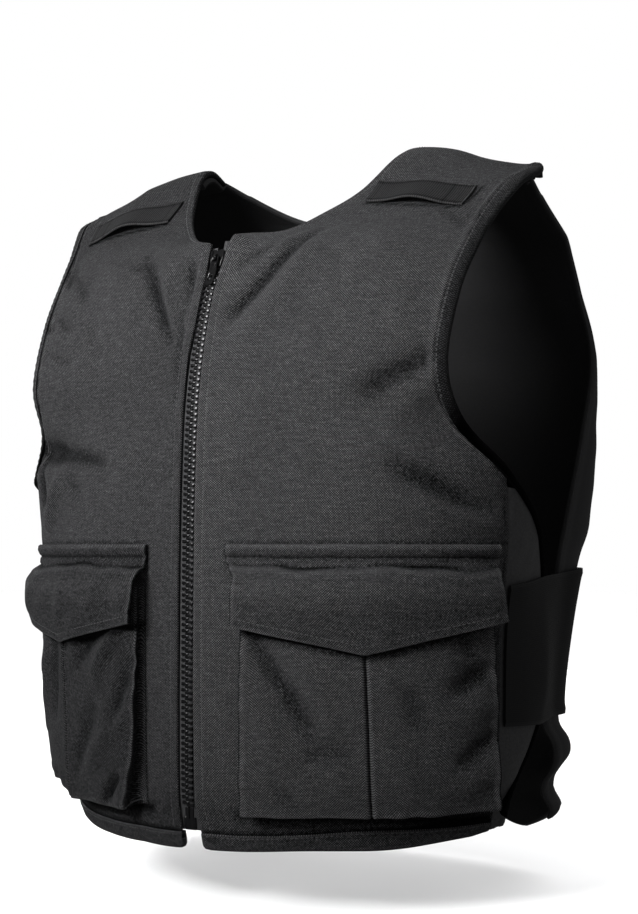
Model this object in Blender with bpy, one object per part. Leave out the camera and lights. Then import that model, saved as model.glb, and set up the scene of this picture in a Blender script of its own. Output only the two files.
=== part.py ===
# A stab vest as worn: two padded front halves closed by a zip, side wings, a padded back and side straps.
# Metres, +Z up. The wearer faces -Y and the wearer's left is +X. The origin is where the vest sits on the
# shoulders.

import math

import bmesh
import bpy
import numpy as np

# Cloth thicknesses
CARRIER = 0.0085          # padded panel with its protective layers
CARRIER_EDGE = 0.0050     # the same panel where it is pressed flat along its edges
FACING = 0.0028           # cloth beside the zip
EDGE_TAPER = 0.024        # how far the padding fades towards an edge
FACING_TAPER = 0.020      # how far the facing thickens into the edge of the panel
FLAT_HEM = 0.6            # row places over which the padding fades above the hem
FLAT_OVER = 1.5           # row places over which it fades towards the shoulder
FRONT_FLAT_FROM = 11.5
BACK_FLAT_FROM = 6.8
WING = 0.0036
ELASTIC = 0.0018
WEBBING = 0.0016
POCKET_CLOTH = 0.0016
FLAP_CLOTH = 0.0022
GAP = 0.0005              # air between pieces that lie on one another
FIT = 0.0004              # air between pieces that meet edge to edge
BINDING_CLEAR = 0.0010    # air between cloth and binding, whose edges bend differently
CORNER_CLEAR = 0.0018     # more of it where the binding turns a corner

# Zip
TAPE_TOP_LEFT = -0.0835
TAPE_TOP_RIGHT = -0.0880
CHAIN_TOP = -0.0965
CHAIN_BOTTOM = -0.4815
BOX_TOP = -0.4883         # between the chain and the box run the two bare pins
PIN_REACH = 0.0036
PIN_RISE = 0.0010
TAPE = 0.0011
TAPE_REACH = 0.0165
TAPE_GAP = 0.0009
TOOTH_REACH = 0.0044      # half the width of the closed chain
TOOTH_RISE = 0.0014       # how far the teeth stand in front of and behind the tape
CHAIN_GAP = 0.0004
TAPE_FACE = -FACING - TAPE_GAP
TAPE_OPENING = 0.0012     # how far each tape stands off the middle above the slider
BOX_HEIGHT = 0.0083       # retainer box at the foot of the zip
BOX_HALF_WIDTH = 0.0057
BOX_DEPTH = 0.0034

# Slider and pull, in the slider's own frame: across, outwards and up along the zip
SLIDER_HEIGHT = -0.0970
SLIDER_OUTLINE = ((-0.0044, -0.0062), (0.0044, -0.0062), (0.0056, 0.0020), (0.0056, 0.0054),
                  (0.0040, 0.0068),
                  (-0.0040, 0.0068), (-0.0056, 0.0054), (-0.0056, 0.0020))
SLIDER_PLATE = 0.0013
SLIDER_POST = 0.0010      # half the width of the post between the tapes
BAIL_HOLE = 0.0013
BAIL_WIRE = 0.0011
BAIL_HALF_WIDTH = 0.0011
PULL_LENGTH = 0.0215
PULL_HALF_WIDTH = 0.0033
PULL_HALF_THICKNESS = 0.0007
PULL_WINDOW_HALF = 0.0018
PULL_WINDOW_END = 0.0038
PULL_SLOT = (0.0125, 0.0180)
PULL_SLOT_HALF = 0.0017

# Bindings and bands
BINDING = 0.0064
BINDING_RISE = 0.0007
BINDING_ROUND = 0.0018
HEM_TOP = 0.26            # row place of the upper edge of the hem band
HEM_FIT = 0.012           # row place that leaves the fit between band and panel
HEM_CORNER = 0.003        # how much narrower the band is at its very edge

# Pockets, measured along the cloth from the middle of the front
POCKET_START = 0.0415
POCKET_WIDTH = 0.1695
POCKET_TOP = -0.3290
POCKET_FOOT = -0.4785
POCKET_DEPTH = 0.0155
PLEAT_DEPTH = 0.0040
FLAP_START = 0.0395
FLAP_WIDTH = 0.1735
STRIP_START_LEFT = 0.0285
STRIP_START_RIGHT = 0.0395
STRIP_END = 0.2205
FLAP_SIDE = -0.3545
FLAP_POINT = 0.0160       # how far the middle hangs below the sides
# How much higher the flap's outer end lies than its inner end.
FLAP_OUTER_RISE = 0.0070

# Side straps
STRAP_TOP = -0.3270
STRAP_BOTTOM = -0.4230
STRAP_RISE = 0.0105       # how much higher its upper edge lies at the back
STRAP_FALL = 0.0045       # how much lower its lower edge lies there
STRAP_LIFT = 0.0013       # clears the binding of the wing
STRAP_LIFT_BACK = 0.0020

# Radio loops: webbing tacked to the upper chest at both ends. Corners as row place and distance along
# the row.
LOOP_LOWER = ((11.25, 0.0240), (10.50, 0.1150))
LOOP_UPPER = ((12.20, 0.0100), (11.55, 0.0990))
LOOP_LIFT = 0.0048

# Rows of the left front from the hem to its end behind the shoulder. Each row runs from the inner edge
# (zip, then neckline) to the outer edge (side seam, then armhole). Turn is the heading in plan, in degrees
# from +X towards +Y, and pull is how far the row keeps that heading.
# name, inner x y z, outer x y z, inner turn, inner pull, outer turn, outer pull
FRONT_ROWS = (
    ("hem",       0.000, -0.1470, -0.5100, 0.1760, -0.0490, -0.4930, 0, 0.084, 58, 0.044),
    ("hip",       0.000, -0.1500, -0.4700, 0.1853, -0.0520, -0.4640, 0, 0.090, 62, 0.046),
    ("belt",      0.000, -0.1505, -0.4200, 0.1880, -0.0550, -0.4180, 0, 0.096, 66, 0.050),
    ("waist",     0.000, -0.1500, -0.3600, 0.1915, -0.0610, -0.3600, 0, 0.102, 72, 0.058),
    ("rib",       0.000, -0.1490, -0.3000, 0.1980, -0.0640, -0.3000, 0, 0.104, 76, 0.062),
    ("underarm",  0.000, -0.1465, -0.2480, 0.2020, -0.0770, -0.2460, 0, 0.098, 64, 0.048),
    ("armpit",    0.000, -0.1435, -0.2100, 0.1800, -0.0980, -0.2150, 0, 0.086, 44, 0.030),
    ("chest",     0.000, -0.1385, -0.1750, 0.1765, -0.1130, -0.1800, 0, 0.080, 30, 0.030),
    ("breast",    0.000, -0.1290, -0.1300, 0.1785, -0.0970, -0.1300, 0, 0.072, 30, 0.040),
    ("collar",    0.000, -0.1155, -0.0855, 0.1825, -0.0730, -0.0940, 0, 0.064, 32, 0.044),
    ("yoke",      0.036, -0.0900, -0.0765, 0.1860, -0.0590, -0.0760, 4, 0.050, 24, 0.044),
    ("strap",     0.058, -0.0680, -0.0610, 0.1910, -0.0470, -0.0610, 6, 0.040, 16, 0.040),
    ("shoulder",  0.074, -0.0450, -0.0430, 0.1970, -0.0330, -0.0460, 6, 0.036, 8, 0.036),
    ("neck",      0.087, -0.0150, -0.0140, 0.2010, -0.0140, -0.0360, 0, 0.034, 0, 0.034),
    ("crest",     0.093, 0.0110, -0.0030, 0.1965, -0.0020, -0.0310, 0, 0.034, 0, 0.034),
    ("lap",       0.096, 0.0340, -0.0075, 0.1925, 0.0100, -0.0355, 0, 0.034, -4, 0.034),
)
UNDERARM_ROW = 5
COLLAR_ROW = 9
CREST_ROW = 14
LAP_ROW = 15

# Free edge of the left wing from the hem up to the underarm: name, x, y, z
WING_ROWS = (
    ("foot",   0.1870, -0.0420, -0.4820),
    ("low",    0.1885, -0.0280, -0.4640),
    ("hip",    0.1924, -0.0140, -0.4440),
    ("belt",   0.1962, -0.0040, -0.4220),
    ("waist",  0.1985, 0.0010, -0.3900),
    ("rib",    0.1980, 0.0000, -0.3450),
    ("side",   0.1985, -0.0050, -0.3080),
    ("upper",  0.2020, -0.0180, -0.2880),
    ("armpit", 0.2030, -0.0360, -0.2720),
    ("top",    0.2030, -0.0600, -0.2570),
)
WING_SEAM_FOOT = 0.12     # row place of the front where the wing's seam starts
WING_FOOT_PLACE = 0.12    # row places of the wing's own first and last rows, inside the binding
WING_TOP_PLACE = 8.10

# Rows of the left half of the back, with the columns of the front. Above the last row the back's strap
# follows the front's own shoulder rows, one layer deeper.
BACK_ROWS = (
    ("hem",       0.000, 0.1310, -0.5140, 0.1760, 0.0560, -0.5060, 0, 0.104, -98, 0.060),
    ("flare",     0.000, 0.1330, -0.4560, 0.1870, 0.0540, -0.4520, 0, 0.110, -104, 0.070),
    ("strap_low", 0.000, 0.1320, -0.4200, 0.1815, 0.0430, -0.4180, 0, 0.108, -100, 0.070),
    ("strap_top", 0.000, 0.1330, -0.3250, 0.1900, 0.0440, -0.3220, 0, 0.116, -106, 0.078),
    ("rib",       0.000, 0.1370, -0.2800, 0.1915, 0.0580, -0.2820, 0, 0.124, -112, 0.082),
    ("bust",      0.000, 0.1400, -0.2150, 0.1955, 0.0820, -0.2160, 0, 0.124, -108, 0.064),
    ("blade",     0.000, 0.1360, -0.1500, 0.1985, 0.0980, -0.1560, 0, 0.110, -80, 0.046),
    ("yoke",      0.000, 0.1180, -0.0900, 0.1890, 0.0940, -0.1050, 0, 0.080, -34, 0.034),
    ("nape",      0.000, 0.0980, -0.0350, 0.1870, 0.0790, -0.0760, 0, 0.056, -20, 0.040),
    ("collar",    0.058, 0.0820, -0.0270, 0.1900, 0.0620, -0.0610, 0, 0.040, -12, 0.040),
)
NAPE_ROW = 8
BACK_LAP_ROW = 10         # where the front's lap ends on the back's strap

# Down the pocket flap: height, and how far its face stands off the panel. Below the last row it follows
# its edge.
FLAP_PROFILE = (
    (-0.2995, 0.0027),
    (-0.3045, 0.0029),
    (-0.3095, 0.0027),
    (-0.3140, 0.0042),
    (-0.3185, 0.0100),
    (-0.3245, 0.0158),
    (-0.3340, 0.0182),
)
FLAP_EDGE_OFF = 0.0166

# How full the pocket stands at shares of its height, from its foot to its mouth
POCKET_SWELL = ((0.0, 0.90), (0.12, 0.92), (0.45, 0.66), (0.72, 0.86), (0.90, 0.86), (1.0, 0.78))

# The closure, from the hem to the collar: height, sideways place of the middle of the zip, and the
# distances from there to the edges of the left and right fronts
CLOSURE = (
    (-0.5100, -0.0055, 0.0113, 0.0045),
    (-0.4950, -0.0055, 0.0095, 0.0062),
    (-0.4780, -0.0055, 0.0058, 0.0082),
    (-0.4000, -0.0054, 0.0048, 0.0084),
    (-0.3000, -0.0056, 0.0048, 0.0082),
    (-0.2500, -0.0060, 0.0048, 0.0082),
    (-0.2000, -0.0064, 0.0048, 0.0082),
    (-0.1650, -0.0061, 0.0048, 0.0078),
    (-0.1450, -0.0054, 0.0048, 0.0056),
    (-0.1200, -0.0041, 0.0050, 0.0051),
    (-0.1080, -0.0024, 0.0056, 0.0060),
    (-0.1030, -0.0015, 0.0066, 0.0070),
    (-0.0920, -0.0015, 0.0085, 0.0070),
    (-0.0840, -0.0015, 0.0120, 0.0066),
)
CLOSURE_REACH = 0.045     # how far beside the middle its sideways shift fades out

# The wearer's right side hangs a little differently from the left. Distance beside the middle, how much
# higher the shoulder lies there, and how much lower the hem.
RIGHT_HANG = (
    (0.000, 0.0000, 0.0000),
    (0.050, 0.0000, 0.0030),
    (0.093, 0.0066, 0.0095),
    (0.145, 0.0115, 0.0200),
    (0.180, 0.0085, 0.0280),
    (0.205, 0.0030, 0.0290),
)
SHOULDER_LIFT_FROM = -0.13   # the lift grows from this height over the next stretch
SHOULDER_LIFT_OVER = 0.11
HEM_DROP_FROM = -0.40        # the drop grows from this height down over the next stretch
HEM_DROP_OVER = 0.11
HEM_DROP_MOST = 1.2
SIDE_DROP = 0.0050           # how much lower the hem's corner hangs at the wearer's left side
SIDE_DROP_FROM = -0.474
SIDE_DROP_OVER = 0.012
SIDE_DROP_START = 0.10       # distance beside the middle at which it starts, and over which it grows
SIDE_DROP_REACH = 0.07
COLLAR_RISE_LEFT = 0.0060    # how much higher the left front ends beside the zip
COLLAR_RISE_REACH = 0.040
COLLAR_RISE_FROM = -0.125
COLLAR_RISE_OVER = 0.036

COLOURS = {
    "canvas": (0.055, 0.056, 0.060, 1.0),
    "smooth_cloth": (0.016, 0.016, 0.018, 1.0),
    "webbing": (0.035, 0.035, 0.038, 1.0),
    "zip_plastic": (0.018, 0.018, 0.020, 1.0),
    "zip_metal": (0.030, 0.030, 0.033, 1.0),
}


def make_material(name, roughness, metallic=0.0):
    material = bpy.data.materials.new(name)
    material.use_nodes = True
    shader = material.node_tree.nodes["Principled BSDF"]
    shader.inputs["Base Color"].default_value = COLOURS[name]
    shader.inputs["Roughness"].default_value = roughness
    shader.inputs["Metallic"].default_value = metallic
    return material


def columns(table):
    """The numbers of a table of rows, without the names."""
    return np.array([row[1:] for row in table], float)


def smooth(x):
    """Eases from 0 to 1 as x goes from 0 to 1."""
    x = np.clip(x, 0.0, 1.0)
    return x * x * (3.0 - 2.0 * x)


def through(values, places, corner=None):
    """Smooth curve through rows of values, read at fractional row numbers. It may bend at the corner."""
    values = np.asarray(values, float)
    places = np.asarray(places, float)
    if corner is not None:
        low = through(values[: corner + 1], np.minimum(places, corner))
        high = through(values[corner:], np.maximum(places - corner, 0.0))
        return np.where((places <= corner)[..., None], low, high)
    slopes = np.gradient(values, axis=0)
    first = np.clip(np.floor(places).astype(int), 0, len(values) - 2)
    t = (places - first)[..., None]
    here = (2 * t**3 - 3 * t**2 + 1) * values[first] + (t**3 - 2 * t**2 + t) * slopes[first]
    after = (3 * t**2 - 2 * t**3) * values[first + 1] + (t**3 - t**2) * slopes[first + 1]
    return here + after


def heading(degrees):
    angle = np.radians(degrees)
    return np.stack([np.cos(angle), np.sin(angle), np.zeros_like(angle)], axis=-1)


def row_curve(start, start_turn, start_pull, end, end_turn, end_pull, s):
    """Cubic from start to end that leaves and arrives in the given headings."""
    near = start + start_pull[..., None] * heading(start_turn)
    far = end - end_pull[..., None] * heading(end_turn)
    s = s[..., None]
    return (1 - s) ** 3 * start + 3 * s * (1 - s) ** 2 * near + 3 * s**2 * (1 - s) * far + s**3 * end


def front_points(v, s):
    values = columns(FRONT_ROWS)
    inner = through(values[:, 0:3], v, corner=COLLAR_ROW)
    outer = through(values[:, 3:6], v, corner=UNDERARM_ROW)
    aim = through(values[:, 6:10], v)
    return row_curve(inner, aim[..., 0], aim[..., 1], outer, aim[..., 2], aim[..., 3], s)


def back_points(v, s):
    shared = columns(FRONT_ROWS)[[LAP_ROW, CREST_ROW, CREST_ROW - 1]]
    values = np.concatenate([columns(BACK_ROWS), shared])
    inner = through(values[:, 0:3], v, corner=NAPE_ROW)
    rest = through(values[:, 3:10], v)
    own = row_curve(inner, rest[..., 3], rest[..., 4], rest[..., 0:3], rest[..., 5], rest[..., 6], s)
    under_front = v > BACK_LAP_ROW
    front = front_points(np.where(under_front, LAP_ROW + BACK_LAP_ROW - v, LAP_ROW), s)
    return np.where(under_front[..., None], front, own)


def wing_points(v, s):
    """The wing springs from the side seam with the front's own heading and turns towards its free edge."""
    free = through(columns(WING_ROWS), v)
    seam_place = WING_SEAM_FOOT + (UNDERARM_ROW - WING_SEAM_FOOT) * v / (len(WING_ROWS) - 1)
    seam = front_points(seam_place, np.ones_like(seam_place))
    reach = np.linalg.norm(free - seam, axis=-1)
    turn = through(columns(FRONT_ROWS)[:, 8:9], seam_place)[..., 0]
    return row_curve(seam, turn, 0.4 * reach, free, np.full_like(turn, 96.0), 0.3 * reach, s)


class Surface:
    """A cloth surface ruled by rows, read by row place, distance along the row and distance off it."""

    FINE = 121

    def __init__(self, row_points, row_count, outward):
        self.row_points = row_points
        self.last = row_count - 1
        self.outward = outward
        self.fine = np.linspace(0.0, 1.0, self.FINE)

    def raw(self, v, s):
        return self.row_points(np.asarray(v, float), np.asarray(s, float))

    def normal(self, v, s):
        step = 1e-3
        along = self.raw(v, np.clip(s + step, 0, 1)) - self.raw(v, np.clip(s - step, 0, 1))
        up = self.raw(np.clip(v + step, 0, self.last), s) - self.raw(np.clip(v - step, 0, self.last), s)
        out = np.cross(along, up) * self.outward
        return out / np.linalg.norm(out, axis=-1, keepdims=True)

    def row(self, v):
        """Fine points of one row."""
        return self.raw(np.full(self.FINE, float(v)), self.fine)

    def lengths(self, v):
        """Distance along the row at each of its fine points."""
        steps = np.linalg.norm(np.diff(self.row(v), axis=0), axis=1)
        return np.concatenate([[0.0], np.cumsum(steps)])

    def length(self, v):
        return self.lengths(v)[-1]

    def at(self, v, across, off=0.0):
        """Points on row place v, at distances across from its inner edge and off outwards."""
        across = np.asarray(across, float)
        s = np.interp(across, self.lengths(v), self.fine)
        places = np.full(s.shape, float(v))
        off = np.broadcast_to(np.asarray(off, float), s.shape)
        return self.raw(places, s) + off[..., None] * self.normal(places, s)

    def place_of_height(self, z, s=0.4):
        """The row place whose point at s has height z."""
        places = np.linspace(0.0, self.last, 600)
        heights = np.maximum.accumulate(self.raw(places, np.full(600, s))[:, 2])
        return float(np.interp(z, heights, places))


FRONT = Surface(front_points, len(FRONT_ROWS), 1.0)
WING_FACE = Surface(wing_points, len(WING_ROWS), 1.0)
BACK = Surface(back_points, len(BACK_ROWS) + 3, -1.0)


def free_edge(front_steps, wing_steps):
    """Points and normals down the free edge of the left front: shoulder end, armhole, then the wing."""
    down = np.linspace(LAP_ROW, UNDERARM_ROW + 0.02, front_steps)
    along = np.linspace(WING_FACE.last - 0.25, 0.0, wing_steps)
    points = [FRONT.raw(down, np.ones(front_steps)), WING_FACE.raw(along, np.ones(wing_steps))]
    normals = [FRONT.normal(down, np.ones(front_steps)), WING_FACE.normal(along, np.ones(wing_steps))]
    return np.concatenate(points), np.concatenate(normals)


def binding_margins():
    """Points down the free edge, and how near the cloth may come to each: further off round corners."""
    points = free_edge(90, 60)[0]
    corners = FRONT.raw(UNDERARM_ROW, 1.0), WING_FACE.raw(0.0, 1.0)
    away = np.min([np.linalg.norm(points - corner, axis=1) for corner in corners], axis=0)
    return points, BINDING + BINDING_CLEAR + CORNER_CLEAR * np.exp(-((away / 0.015) ** 2))


EDGE_POINTS, EDGE_MARGINS = binding_margins()


def clear_reach(surface, v):
    """How far along a row the cloth may go before it meets the binding or the row's own end."""
    points = surface.row(v)
    away = np.linalg.norm(points[:, None, :] - EDGE_POINTS[None, :, :], axis=2)
    blocked = np.flatnonzero((away < EDGE_MARGINS).any(axis=1))
    lengths = surface.lengths(v)
    if len(blocked) == 0:
        return lengths[-1] - FIT
    return min(lengths[max(blocked[0] - 1, 1)], lengths[-1] - FIT)


def mirrored(points):
    return np.asarray(points) * np.array([-1.0, 1.0, 1.0])


def hung(points):
    """Points of the even vest moved to where they hang: the closure runs a little off the middle, and the
    wearer's right side is higher at the shoulder and lower at the side of the hem."""
    points = np.array(points, float)
    sideways, height = points[:, 0].copy(), points[:, 2].copy()
    heights, middle = np.array(CLOSURE)[:, :2].T
    points[:, 0] += np.interp(height, heights, middle) * (1.0 - smooth(abs(sideways) / CLOSURE_REACH))
    points[:, 0] = np.where(points[:, 1] < 0.0, points[:, 0], sideways)
    beside, lift, drop = np.array(RIGHT_HANG).T
    near_top = smooth((height - SHOULDER_LIFT_FROM) / SHOULDER_LIFT_OVER)
    near_hem = np.clip((HEM_DROP_FROM - height) / HEM_DROP_OVER, 0.0, HEM_DROP_MOST) ** 2
    points[:, 2] += near_top * np.interp(-sideways, beside, lift)
    points[:, 2] -= near_hem * np.interp(-sideways, beside, drop)
    at_side = smooth((sideways - SIDE_DROP_START) / SIDE_DROP_REACH)
    points[:, 2] -= SIDE_DROP * at_side * smooth((SIDE_DROP_FROM - height) / SIDE_DROP_OVER)
    return points


def mesh_object(name, points, faces, material, pivot=(0.0, 0.0, 0.0)):
    """A closed mesh of the hung points, with its origin at the hung pivot."""
    pivot = hung([pivot])[0] if any(pivot) else np.zeros(3)
    mesh = bpy.data.meshes.new(name)
    mesh.from_pydata([tuple(p) for p in hung(points) - pivot], [], faces)
    tool = bmesh.new()
    tool.from_mesh(mesh)
    bmesh.ops.remove_doubles(tool, verts=tool.verts, dist=1e-6)
    bmesh.ops.recalc_face_normals(tool, faces=tool.faces)
    if tool.calc_volume(signed=True) < 0:
        bmesh.ops.reverse_faces(tool, faces=tool.faces)
    tool.to_mesh(mesh)
    tool.free()
    mesh.shade_smooth()
    mesh.set_sharp_from_angle(angle=math.radians(40))
    mesh.materials.append(material)
    piece = bpy.data.objects.new(name, mesh)
    piece.location = pivot
    bpy.context.scene.collection.objects.link(piece)
    return piece


def wall(outer, inner, open_rows=0):
    """Points and faces of a closed wall between two grids, without a rim at column 0 of the open rows."""
    rows, cols = outer.shape[:2]
    points = np.concatenate([outer.reshape(-1, 3), inner.reshape(-1, 3)])
    under = rows * cols
    faces = []
    for i in range(rows - 1):
        for j in range(cols - 1):
            a, b = i * cols + j, i * cols + j + 1
            c, d = b + cols, a + cols
            faces.append((a, b, c, d))
            faces.append((under + d, under + c, under + b, under + a))
    for j in range(cols - 1):
        a, b = j, j + 1
        faces.append((b, a, under + a, under + b))
        a, b = (rows - 1) * cols + j, (rows - 1) * cols + j + 1
        faces.append((a, b, under + b, under + a))
    for i in range(rows - 1):
        a, d = i * cols, (i + 1) * cols
        if i >= open_rows:
            faces.append((a, d, under + d, under + a))
        b, c = a + cols - 1, d + cols - 1
        faces.append((c, b, under + b, under + c))
    return points, faces


def tube(rings):
    """Closed tube whose section points are carried along lines: rings is a list of equal arrays."""
    rings = np.array(rings)
    around, steps = rings.shape[:2]
    points = rings.transpose(1, 0, 2).reshape(-1, 3)
    faces = []
    for i in range(steps - 1):
        for k in range(around):
            a, b = i * around + k, i * around + (k + 1) % around
            faces.append((a, b, b + around, a + around))
    faces.append(tuple(range(around))[::-1])
    faces.append(tuple((steps - 1) * around + k for k in range(around)))
    return points, faces


def turned(faces):
    return [tuple(reversed(face)) for face in faces]


def sided(name, side, points, faces, material):
    """Makes the wearer's left piece as it stands, or the right one mirrored."""
    if side < 0:
        points, faces = mirrored(points), turned(faces)
    return mesh_object(name + ("_left" if side > 0 else "_right"), points, faces, material)


def zip_edge(side, v):
    """Distance from the middle of the zip to the front's edge beside it. It fades out above the collar."""
    heights, _, left, right = np.array(CLOSURE).T
    edge = np.interp(FRONT.raw(v, 0.0)[2], heights, left if side > 0 else right)
    return edge * float(np.clip(1.0 - (v - COLLAR_ROW) * 2.0, 0.0, 1.0))


def panel_depth(across, start, end, v):
    """Thickness of a padded front row: thin beside the zip and at the edges, full between them."""
    below_collar = v <= COLLAR_ROW
    edge = FACING if below_collar else CARRIER_EDGE
    padding_start = TAPE_REACH + 0.002 if below_collar else start
    edge = edge + (CARRIER_EDGE - edge) * smooth((across - TAPE_REACH) / FACING_TAPER)
    full = np.minimum(smooth((across - padding_start) / EDGE_TAPER), smooth((end - across) / EDGE_TAPER))
    flat = max(smooth((v - FRONT_FLAT_FROM) / FLAT_OVER), smooth(1.0 - v / FLAT_HEM))
    return edge + (CARRIER - edge) * full * (1.0 - flat)


def front_panel(side, material):
    places = np.concatenate([
        [HEM_TOP, 0.5, 0.9, 1.6, 2.4, 3.2, 4.0, 4.78, 4.86, 4.95, 5.05, 5.25],
        [5.6, 6.1, 6.6, 7.1, 7.7, 8.4],
        [9.0, 9.4, 10.0, 10.8, 11.6, 12.3, 13.0, 13.5, 14.0, 14.5, 15.0],
    ])
    spread = np.linspace(0.0, 1.0, 13)
    spread = 1.0 - (1.0 - spread) ** 1.2
    outer, inner = [], []
    for v in places:
        start, end = zip_edge(side, v), clear_reach(FRONT, v)
        facing = TAPE_REACH + 0.0010 if v <= COLLAR_ROW else start + 0.008
        across = np.concatenate([[start], facing + (end - facing) * spread])
        outer.append(FRONT.at(v, across))
        inner.append(FRONT.at(v, across, -panel_depth(across, start, end, v)))
    outer, inner = np.array(outer), np.array(inner)
    if side > 0:
        for grid in (outer, inner):
            beside = 1.0 - smooth(grid[..., 0] / COLLAR_RISE_REACH)
            near_collar = smooth((grid[..., 2] - COLLAR_RISE_FROM) / COLLAR_RISE_OVER)
            grid[..., 2] += COLLAR_RISE_LEFT * beside * near_collar
    return sided("front_panel", side, *wall(outer, inner), material)


def hem_band(side, material):
    spread = np.linspace(0.0, 1.0, 15)
    levels = ((0.0, 0.0, HEM_CORNER), (0.04, BINDING_RISE, 0.0), (HEM_TOP - HEM_FIT, BINDING_RISE, 0.0))
    outer, inner = [], []
    for v, rise, inset in levels:
        start, end = zip_edge(side, v) + inset, clear_reach(FRONT, v) - inset
        across = start + (end - start) * spread
        outer.append(FRONT.at(v, across, rise))
        inner.append(FRONT.at(v, across, -CARRIER_EDGE - rise))
    return sided("hem_band", side, *wall(np.array(outer), np.array(inner)), material)


def side_wing(side, material):
    spread = np.linspace(0.0, 1.0, 5)
    outer, inner = [], []
    for v in np.linspace(WING_FOOT_PLACE, WING_TOP_PLACE, 13):
        end = max(clear_reach(WING_FACE, v), 4.0 * FIT)
        across = FIT + (end - FIT) * spread
        outer.append(WING_FACE.at(v, across))
        inner.append(WING_FACE.at(v, across, -WING))
    return sided("side_wing", side, *wall(np.array(outer), np.array(inner)), material)


def armhole_binding(side, material):
    """A flat rounded strip along the free edge, as wide as the binding and a little proud of the cloth."""
    points, normals = free_edge(60, 40)
    lengths = np.concatenate([[0.0], np.cumsum(np.linalg.norm(np.diff(points, axis=0), axis=1))])
    corner = lengths[59]
    steps = np.concatenate([np.linspace(0.0, corner - 0.010, 23), corner + np.array([-0.005, 0.0, 0.005]),
                            np.linspace(corner + 0.010, lengths[-1], 18)])
    points, normals = (np.stack([np.interp(steps, lengths, a[:, k]) for k in range(3)], axis=1)
                       for a in (points, normals))
    runs = np.gradient(points, axis=0)
    runs /= np.linalg.norm(runs, axis=1, keepdims=True)
    normals -= runs * (normals * runs).sum(axis=1, keepdims=True)
    normals /= np.linalg.norm(normals, axis=1, keepdims=True)
    inwards = np.cross(runs, normals)
    high, low = BINDING_RISE, -CARRIER_EDGE - BINDING_RISE
    section = ((BINDING, high), (BINDING_ROUND, high), (0.0, high - BINDING_ROUND),
               (0.0, low + BINDING_ROUND), (BINDING_ROUND, low), (BINDING, low))
    rings = [points + a * inwards + b * normals for a, b in section]
    return sided("armhole_binding", side, *tube(rings), material)


def back_panel(material):
    places = np.concatenate([np.linspace(0.0, NAPE_ROW, 15), [8.6, 9.3, 10.0, 10.5, 11.0, 11.5, 12.0]])
    spread = np.linspace(0.0, 1.0, 13)
    spread = 1.0 - (1.0 - spread) ** 1.25
    outer, inner = [], []
    for v in places:
        under_front = smooth((v - NAPE_ROW) / 1.7)
        total = BACK.length(v) - under_front * (BINDING + 0.002)
        across = total * spread
        from_inner = smooth(across / EDGE_TAPER) if v > NAPE_ROW else 1.0
        full = np.minimum(from_inner, smooth((total - across) / EDGE_TAPER))
        full = full * (1.0 - smooth((v - BACK_FLAT_FROM) / FLAT_OVER)) * smooth(v / FLAT_HEM)
        depth = CARRIER_EDGE + (CARRIER - CARRIER_EDGE) * full
        top = -under_front * (CARRIER_EDGE + GAP)
        outer.append(BACK.at(v, across, top))
        inner.append(BACK.at(v, across, top - depth))
    outer, inner = np.array(outer), np.array(inner)
    middle = places <= NAPE_ROW
    outer[middle, 0, 0] = 0.0
    inner[middle, 0, 0] = 0.0
    points, faces = wall(outer, inner, open_rows=int(middle.sum()) - 1)
    count = len(points)
    faces = faces + [tuple(count + k for k in face) for face in turned(faces)]
    return mesh_object("back_panel", np.concatenate([points, mirrored(points)]), faces, material)


def zip_line(z):
    """Points down the middle of the front at heights z, with the outward and upward headings there."""
    z = np.atleast_1d(z)
    collar = FRONT.raw(COLLAR_ROW, 0.0)[2]
    places = np.array([FRONT.place_of_height(min(h, collar), 0.0) for h in z])
    places = np.minimum(places, COLLAR_ROW)
    zero = np.zeros_like(places)
    before = FRONT.raw(np.maximum(places - 0.05, 0.0), zero)
    after = FRONT.raw(np.minimum(places + 0.05, COLLAR_ROW), zero)
    up = (after - before) / np.linalg.norm(after - before, axis=1, keepdims=True)
    out = np.cross(np.array([1.0, 0.0, 0.0]), up)
    points = FRONT.raw(places, zero)
    return points + up * ((z - points[:, 2]) / up[:, 2])[:, None], out, up


def zip_tape(side, material):
    """Tape and its half of the chain as one strip: bare pin, teeth up into the slider, then open tape."""
    top = TAPE_TOP_LEFT if side > 0 else TAPE_TOP_RIGHT
    pin = [BOX_TOP, CHAIN_BOTTOM - 0.0004]
    opening = [CHAIN_TOP + 0.0004, CHAIN_TOP + 0.0060, top]
    heights = np.concatenate([pin, np.linspace(CHAIN_BOTTOM, CHAIN_TOP, 22), opening])
    is_pin = heights < CHAIN_BOTTOM
    is_open = heights > CHAIN_TOP
    rise = np.where(is_open, 0.0001, np.where(is_pin, PIN_RISE, TOOTH_RISE))
    near = np.where(is_open, SLIDER_POST + FIT, CHAIN_GAP)
    near = near + np.where(heights > CHAIN_TOP + 0.001, TAPE_OPENING, 0.0)
    reach = np.where(is_pin, PIN_REACH, TOOTH_REACH)
    edge = np.full_like(heights, TAPE_REACH)
    flat = np.zeros_like(heights)
    section = (
        (near, rise), (reach, rise), (reach, flat), (edge, flat),
        (edge, flat - TAPE), (reach, flat - TAPE), (reach, -TAPE - rise), (near, -TAPE - rise),
    )
    rings = []
    for across, off in section:
        points, out, _ = zip_line(heights)
        ring = points + out * (TAPE_FACE + off)[:, None]
        ring[:, 0] = across
        rings.append(ring)
    return sided("zip_tape", side, *tube(rings), material)


class Frame:
    """A small frame on the zip: x across, out outwards and up along it."""

    def __init__(self, height):
        point, out, up = zip_line(height)
        self.point, self.out, self.up = point[0], out[0], up[0]

    def __call__(self, x, out, up):
        return self.point + np.array([x, 0.0, 0.0]) + out * self.out + up * self.up


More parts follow.
